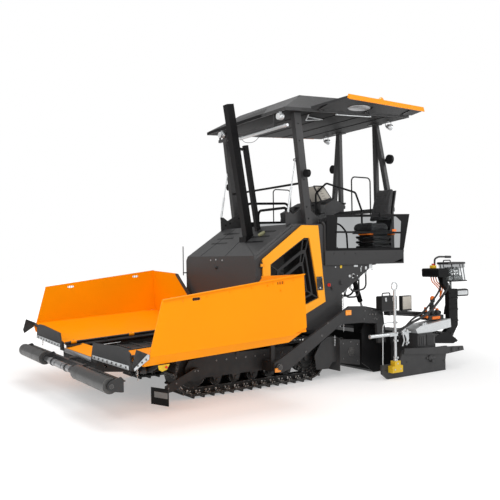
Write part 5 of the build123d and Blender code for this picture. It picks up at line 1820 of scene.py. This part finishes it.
def orange_cables(shape):
    """Orange cables between the control box and the valves."""
    for offset in (0, 0.022, 0.045):
        shape.hose([(-2.8 - offset, 1.2 + offset, 1.295), (-2.83 - offset, 1.2 + offset, 1.22),
                    (-2.9 - offset, 1.22 + offset, 1.15), (-2.93 - offset, 1.25, 1.08),
                    (-2.9, 1.27, 1.0)], 0.0075, 8)


def valve_block(shape):
    """Valve block on the extension's step."""
    shape.box((-2.93, 1.16, 0.69), (-2.62, 1.31, 0.755), 0.008)
    for x, y, low, high, radius in ((-2.76, 1.24, 0.75, 0.93, 0.034),
                                    (-2.64, 1.23, 0.75, 0.81, 0.028),
                                    (-2.86, 1.25, 0.75, 0.82, 0.03),
                                    (-2.7, 1.18, 0.75, 0.84, 0.026)):
        shape.rod((x, y, low), (x, y, high), radius, radius * 0.88, rounded=0.004)
        shape.ring((x, y, (low + high) / 2), (0, 0, 1), radius, 0.006, 24, 8)
    shape.post((-2.78, 1.24, 0.93), 0.045, 0.03, 0.036, rounded=0.003)
    shape.peg((-2.64, 1.18, 0.79), 0.12, 0.02, rounded=0.003)
    shape.rod((-2.9, 1.18, 0.78), (-3.0, 1.18, 0.77), 0.03, rounded=0.004)


def valve_caps(shape):
    """Orange caps and couplings of the valves."""
    shape.dome((-2.78, 1.24, 0.974), 0.036, 0.05)
    for x, y, z, radius in ((-2.64, 1.23, 0.81, 0.03), (-2.86, 1.25, 0.82, 0.024),
                            (-2.7, 1.18, 0.84, 0.022)):
        shape.post((x, y, z), 0.024, radius, radius * 0.8, rounded=0.004)
    shape.box((-2.84, 1.302, 0.7), (-2.68, 1.325, 0.74), 0.006)
    shape.peg((-2.6, 1.2, 0.74), 0.1, 0.018, rounded=0.003)
    shape.rod((-2.78, 1.27, 0.86), (-2.74, 1.30, 0.86), 0.02, rounded=0.003)


def stop_housing(shape):
    """Yellow housing of the emergency stop on the control box."""
    shape.box((-2.822, 1.22, 1.411), (-2.752, 1.29, 1.455), 0.008)


def stop_cap(shape):
    """Red mushroom cap of the emergency stop."""
    shape.rod((*STOP, 1.455), (*STOP, 1.465), 0.012)
    shape.rod((*STOP, 1.463), (*STOP, 1.478), 0.024, 0.02, rounded=0.004)


def control_handle(shape):
    """Bent handle over the control box."""
    shape.pipe([(-2.826, 1.25, 1.405), (-2.827, 1.25, 1.545), (-2.914, 1.25, 1.575),
                (-3.16, 1.25, 1.569)], 0.035, 0.013, 12)
    shape.rod((-3.05, 1.25, 1.5715), (-3.168, 1.25, 1.5685), 0.0175, rounded=0.004)


def panel_hood_rim(shape):
    """Rim and ribs of the clear hood over the control panel."""
    top, foot = hood_rings()
    shape.tube([*top, top[0]], 0.017, 10)
    shape.tube([*foot, foot[0]], 0.008, 8)
    for index in range(0, len(top), 3):
        shape.tube([top[index], foot[index]], 0.006, 8)
    shape.pipe([(-3.05, 1.22, 1.48), (-3.05, 1.22, 1.52), (-3.2, 1.22, 1.52), (-3.2, 1.22, 1.48)],
               0.02, 0.008, 8)


def hood_rings(sides=18):
    """Points round the top and the foot of the clear hood."""
    top, foot = [], []
    for step in range(sides):
        angle = math.tau * step / sides
        along_x = max(-0.82, min(0.82, 1.1 * math.cos(angle))) / 0.82
        along_y = max(-0.82, min(0.82, 1.1 * math.sin(angle))) / 0.82
        top.append(Vector((-3.155 + 0.175 * along_x, 1.27 + 0.105 * along_y, 1.478)))
        foot.append(Vector((-3.225 + 0.175 * along_x, 1.27 + 0.09 * along_y, 1.222)))
    return top, foot


def panel_hood_sides(shape):
    """Clear sides of the hood over the control panel."""
    shape.skin(hood_rings(), closed=False)


def control_panel(shape):
    """Control panel under the hood, with its switches and joystick."""
    shape.box((-3.31, 1.2, 1.235), (-3.02, 1.345, 1.30), 0.012)
    shape.box((-3.27, 1.22, 1.30), (-3.07, 1.325, 1.4), 0.01)
    for index in range(8):
        x, y = -3.08 - (index % 4) * 0.05, 1.23 + (index // 4) * 0.06
        shape.post((x, y, 1.4), 0.025, 0.012, 0.009, rounded=0.002)
    for x in (-3.05, -3.29):
        shape.post((x, 1.27, 1.3), 0.12, 0.012, 0.018, rounded=0.004)
    shape.rod((-2.93, 1.27, 1.345), (-3.03, 1.27, 1.29), 0.018)
    shape.rod((-3.12, 1.28, 1.235), (-3.1, 1.3, 1.11), 0.016)


def panel_keys(shape):
    """Pale faces and lit keys of the control panel and its box."""
    for index in range(6):
        z = 1.325 + (index // 3) * 0.04
        x = -3.1 - (index % 3) * 0.055
        shape.box((x - 0.018, 1.322, z - 0.012), (x + 0.018, 1.331, z + 0.012), 0.003)


def work_lamp_rim(shape):
    """Rim and yoke of the square lamp."""
    x_low, x_high, y_low, y_high, z_low, z_high = -3.43, -3.189, 1.28, 1.34, 1.006, 1.092
    loop = ((x_low + 0.1, z_low), (x_low, z_low), (x_low, z_high), (x_high, z_high),
            (x_high, z_low), (x_low + 0.09, z_low))
    for y in (y_low, y_high):
        shape.pipe([(x, y, z) for x, z in loop], 0.02, 0.007, 8)
    for step in range(7):
        x = x_low + 0.025 + step * 0.032
        shape.box((x - 0.003, y_low + 0.002, z_high - 0.002),
                  (x + 0.003, y_high - 0.002, z_high + 0.012), 0.001)


def work_lamp_lens(shape):
    """Lens of the square lamp."""
    shape.box((-3.418, 1.339, 1.018), (-3.202, 1.346, 1.08), 0.003)


def column_straps(shape):
    """Straps and screws on the control column."""
    y = extension_side - 0.042
    for z in (0.66, 0.82, 0.98):
        shape.box((-3.196, y, z - 0.01), (-3.0, y + 0.004, z + 0.01), 0.0015)
    for z in (0.64, 0.9, 1.05):
        for x in (-3.03, -3.16):
            shape.bolt((x, y + 0.004, z), (0, 1, 0), 0.009)


def rear_brackets(shape):
    """Brackets, springs and levers at the rear of the walkway."""
    shape.side_plate(((-2.97, 0.42), (-3.06, 0.46), (-3.18, 0.39), (-3.19, 0.345), (-3.06, 0.36),
                      (-2.97, 0.35)), 1.3, 1, 0.02, 0.003)
    shape.peg((-3.05, 1.26, 0.47), 0.1, 0.024, rounded=0.003)
    shape.rod((-3.0, 1.3, 0.5), (-3.02, 1.3, 0.56), 0.014, 0.02, rounded=0.003)
    shape.peg((-3.12, 1.29, 0.4), 0.06, 0.016, rounded=0.002)


def walkway_tread(shape):
    """Raised bars on the walkway's plates."""
    for row in range(7):
        for column in range(14):
            x, y = -2.69 - row * 0.035, 0.62 + column * 0.055
            z = 0.512 if x < -2.76 else 0.4
            if -2.93 < x < -2.77 or x > -2.75:
                tread_bar(shape, x, y, z, 0.012 * (-1) ** (row + column + 1), 0.014, 0.002, 0.005)


def foot_bolts(shape):
    """Bolts and the socket collar on the yellow foot."""
    y = plate_side + 0.08
    shape.rod((*POLE, 0.232), (*POLE, 0.262), 0.032, 0.026, rounded=0.003)
    shape.bolts(((-1.845, 0.13), (-1.745, 0.13), (-1.795, 0.205)), y, 1, 0.012)


def tool_box_latches(shape):
    """Latches of the tool box."""
    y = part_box("tool_boxes")[1].y
    for x in (-1.92, -2.06):
        shape.box((x - 0.015, y - 0.001, 0.985), (x + 0.015, y + 0.006, 1.035), 0.003)
        shape.pipe([(x - 0.01, y + 0.006, 1.02), (x - 0.01, y + 0.012, 0.99),
                    (x + 0.01, y + 0.012, 0.99), (x + 0.01, y + 0.006, 1.02)], 0.005, 0.002, 6)


def electric_box_face(shape):
    """Pale plates of the electric box beside the arm."""
    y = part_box("tool_boxes")[1].y
    shape.box((-2.412, y - 0.001, 0.858), (-2.243, y + 0.006, 1.036), 0.004)


def auger_bolts(shape, side):
    """Bolts on the auger's side plates and centre drive."""
    shape.bolts(((-1.33, 0.45), (-1.33, 0.25), (-1.58, 0.42), (-1.58, 0.2), (-1.46, 0.46)),
                side * 0.975, side, 0.012)
    shape.peg((-1.47, side * 0.975, 0.33), side * 0.009, 0.06, rounded=0.002)
    shape.bolts(((-1.5, 0.5), (-1.42, 0.56), (-1.36, 0.66)), side * 0.055, side, 0.012)


class PAVER_OT_screed(bpy.types.Operator):
    """Fit bolts, clamps, hoses, valves, lamp and the control panel to the screed"""
    bl_idname = "paver.screed"
    bl_label = "Screed fittings"

    def execute(self, context):
        fit_pair("extension_{}", (
            (end_plate_bosses, "charcoal"), (extension_panels, "charcoal"),
            (silver_clamps, "galvanised"), (pole_clamps, "galvanised"), (screed_hoses, "rubber"),
            (orange_cables, "orange plastic"), (valve_block, "black plastic"),
            (valve_caps, "orange plastic"), (stop_housing, "safety yellow"),
            (stop_cap, "red plastic"), (control_handle, "black plastic"),
            (panel_hood_rim, "black plastic"), (panel_hood_sides, "pane"),
            (control_panel, "grey plastic"), (panel_keys, "white plastic"),
            (work_lamp_rim, "black plastic"), (work_lamp_lens, "clear lens"),
            (column_straps, "black"), (rear_brackets, "dark charcoal"), (walkway_tread, "black"),
            (foot_bolts, "galvanised")))
        fit("screed", ((tool_box_latches, "galvanised"), (electric_box_face, "beige plastic")))
        fit_both("chassis", ((auger_bolts, "steel"),))
        return {"FINISHED"}


SENSOR_WIDTH = 36.0
LAMP_AIM = Vector((0, 0, 1.2))


class PAVER_OT_stage(bpy.types.Operator):
    """Set up the floor, the soft light and the camera"""
    bl_idname = "paver.stage"
    bl_label = "Stage"

    def execute(self, context):
        settings = context.scene.paver_stage
        context.scene.view_settings.view_transform = "Standard"
        make_floor(settings)
        make_lights(settings)
        make_camera(settings)
        return {"FINISHED"}


def make_floor(settings):
    """A wide floor just under the tracks."""
    half, drop = 40.0, 0.002
    data = bpy.data.meshes.new("floor")
    data.from_pydata([(-half, -half, 0), (half, -half, 0), (half, half, 0), (-half, half, 0)], [],
                     [(0, 1, 2, 3)])
    floor = bpy.data.objects.new("floor", data)
    floor.location.z = -drop
    bpy.context.scene.collection.objects.link(floor)
    data.materials.append(studio_floor(settings))


def make_lights(settings):
    """Even sky and large soft lamps."""
    world = bpy.data.worlds.new("studio")
    world.use_nodes = True
    tree = world.node_tree
    background = tree.nodes["Background"]
    background.inputs["Color"].default_value = (1, 1, 1, 1)
    background.inputs["Strength"].default_value = settings.sky
    backdrop = tree.nodes.new("ShaderNodeBackground")
    backdrop.inputs["Color"].default_value = (1, 1, 1, 1)
    rays = tree.nodes.new("ShaderNodeLightPath")
    choice = tree.nodes.new("ShaderNodeMixShader")
    tree.links.new(rays.outputs["Is Camera Ray"], choice.inputs[0])
    tree.links.new(background.outputs[0], choice.inputs[1])
    tree.links.new(backdrop.outputs[0], choice.inputs[2])
    tree.links.new(choice.outputs[0], tree.nodes["World Output"].inputs["Surface"])
    bpy.context.scene.world = world
    lamps = (
        ("key", (5.5, 7.5, 6.0), 4.0, 330),
        ("front", (8.0, -1.0, 4.0), 4.0, 120),
        ("rear", (-7.0, 6.0, 5.0), 4.0, 200),
        ("top", (0.0, 0.0, 8.0), 6.0, 330),
    )
    for name, place, size, power in lamps:
        light = bpy.data.lights.new(name, "AREA")
        light.shape = "DISK"
        light.size = size
        light.energy = power
        lamp = bpy.data.objects.new(name, light)
        lamp.location = place
        aim = LAMP_AIM - Vector(place)
        lamp.rotation_euler = aim.to_track_quat("-Z", "Y").to_euler()
        bpy.context.scene.collection.objects.link(lamp)


def make_camera(settings):
    """The camera at the photograph's place, turned by bearing, tilt and roll."""
    bearing, tilt, roll = settings.bearing, settings.tilt, settings.roll
    forward = Vector((-math.cos(bearing) * math.cos(tilt), -math.sin(bearing) * math.cos(tilt),
                      math.sin(tilt)))
    level = Vector((-math.sin(bearing), math.cos(bearing), 0))
    up = level.cross(forward)
    across = math.cos(roll) * level + math.sin(roll) * up
    upright = -math.sin(roll) * level + math.cos(roll) * up
    turn = Matrix((across, upright, -forward)).transposed()
    data = bpy.data.cameras.new("camera")
    data.lens = settings.lens
    data.sensor_width = SENSOR_WIDTH
    camera = bpy.data.objects.new("camera", data)
    camera.matrix_world = Matrix.Translation(Vector(settings.camera_place)) @ turn.to_4x4()
    bpy.context.scene.collection.objects.link(camera)
    bpy.context.scene.camera = camera


STEPS = (PAVER_OT_finishes, PAVER_OT_seats, PAVER_OT_hopper, PAVER_OT_hood, PAVER_OT_roof,
         PAVER_OT_platform, PAVER_OT_housing, PAVER_OT_undercarriage, PAVER_OT_screed,
         PAVER_OT_stage)


class PAVER_PT_sidebar(bpy.types.Panel):
    """Lists the steps that dress the paver."""
    bl_idname = "PAVER_PT_sidebar"
    bl_label = "Paver"
    bl_space_type = "VIEW_3D"
    bl_region_type = "UI"
    bl_category = "Paver"

    def draw(self, context):
        layout = self.layout
        for settings in (context.scene.paver_paint, context.scene.paver_stage):
            for name in settings.__annotations__:
                layout.prop(settings, name)
        for step in STEPS:
            layout.operator(step.bl_idname)


CLASSES = (PaintSettings, StageSettings, *STEPS, PAVER_PT_sidebar)


def register():
    for cls in CLASSES:
        bpy.utils.register_class(cls)
    bpy.types.Scene.paver_paint = bpy.props.PointerProperty(type=PaintSettings)
    bpy.types.Scene.paver_stage = bpy.props.PointerProperty(type=StageSettings)


def unregister():
    del bpy.types.Scene.paver_stage
    del bpy.types.Scene.paver_paint
    for cls in reversed(CLASSES):
        bpy.utils.unregister_class(cls)


def call(step):
    """Run an operator by its name."""
    group, name = step.bl_idname.split(".")
    getattr(getattr(bpy.ops, group), name)()


def main():
    register()
    for step in STEPS:
        call(step)


if __name__ == "__main__":
    main()
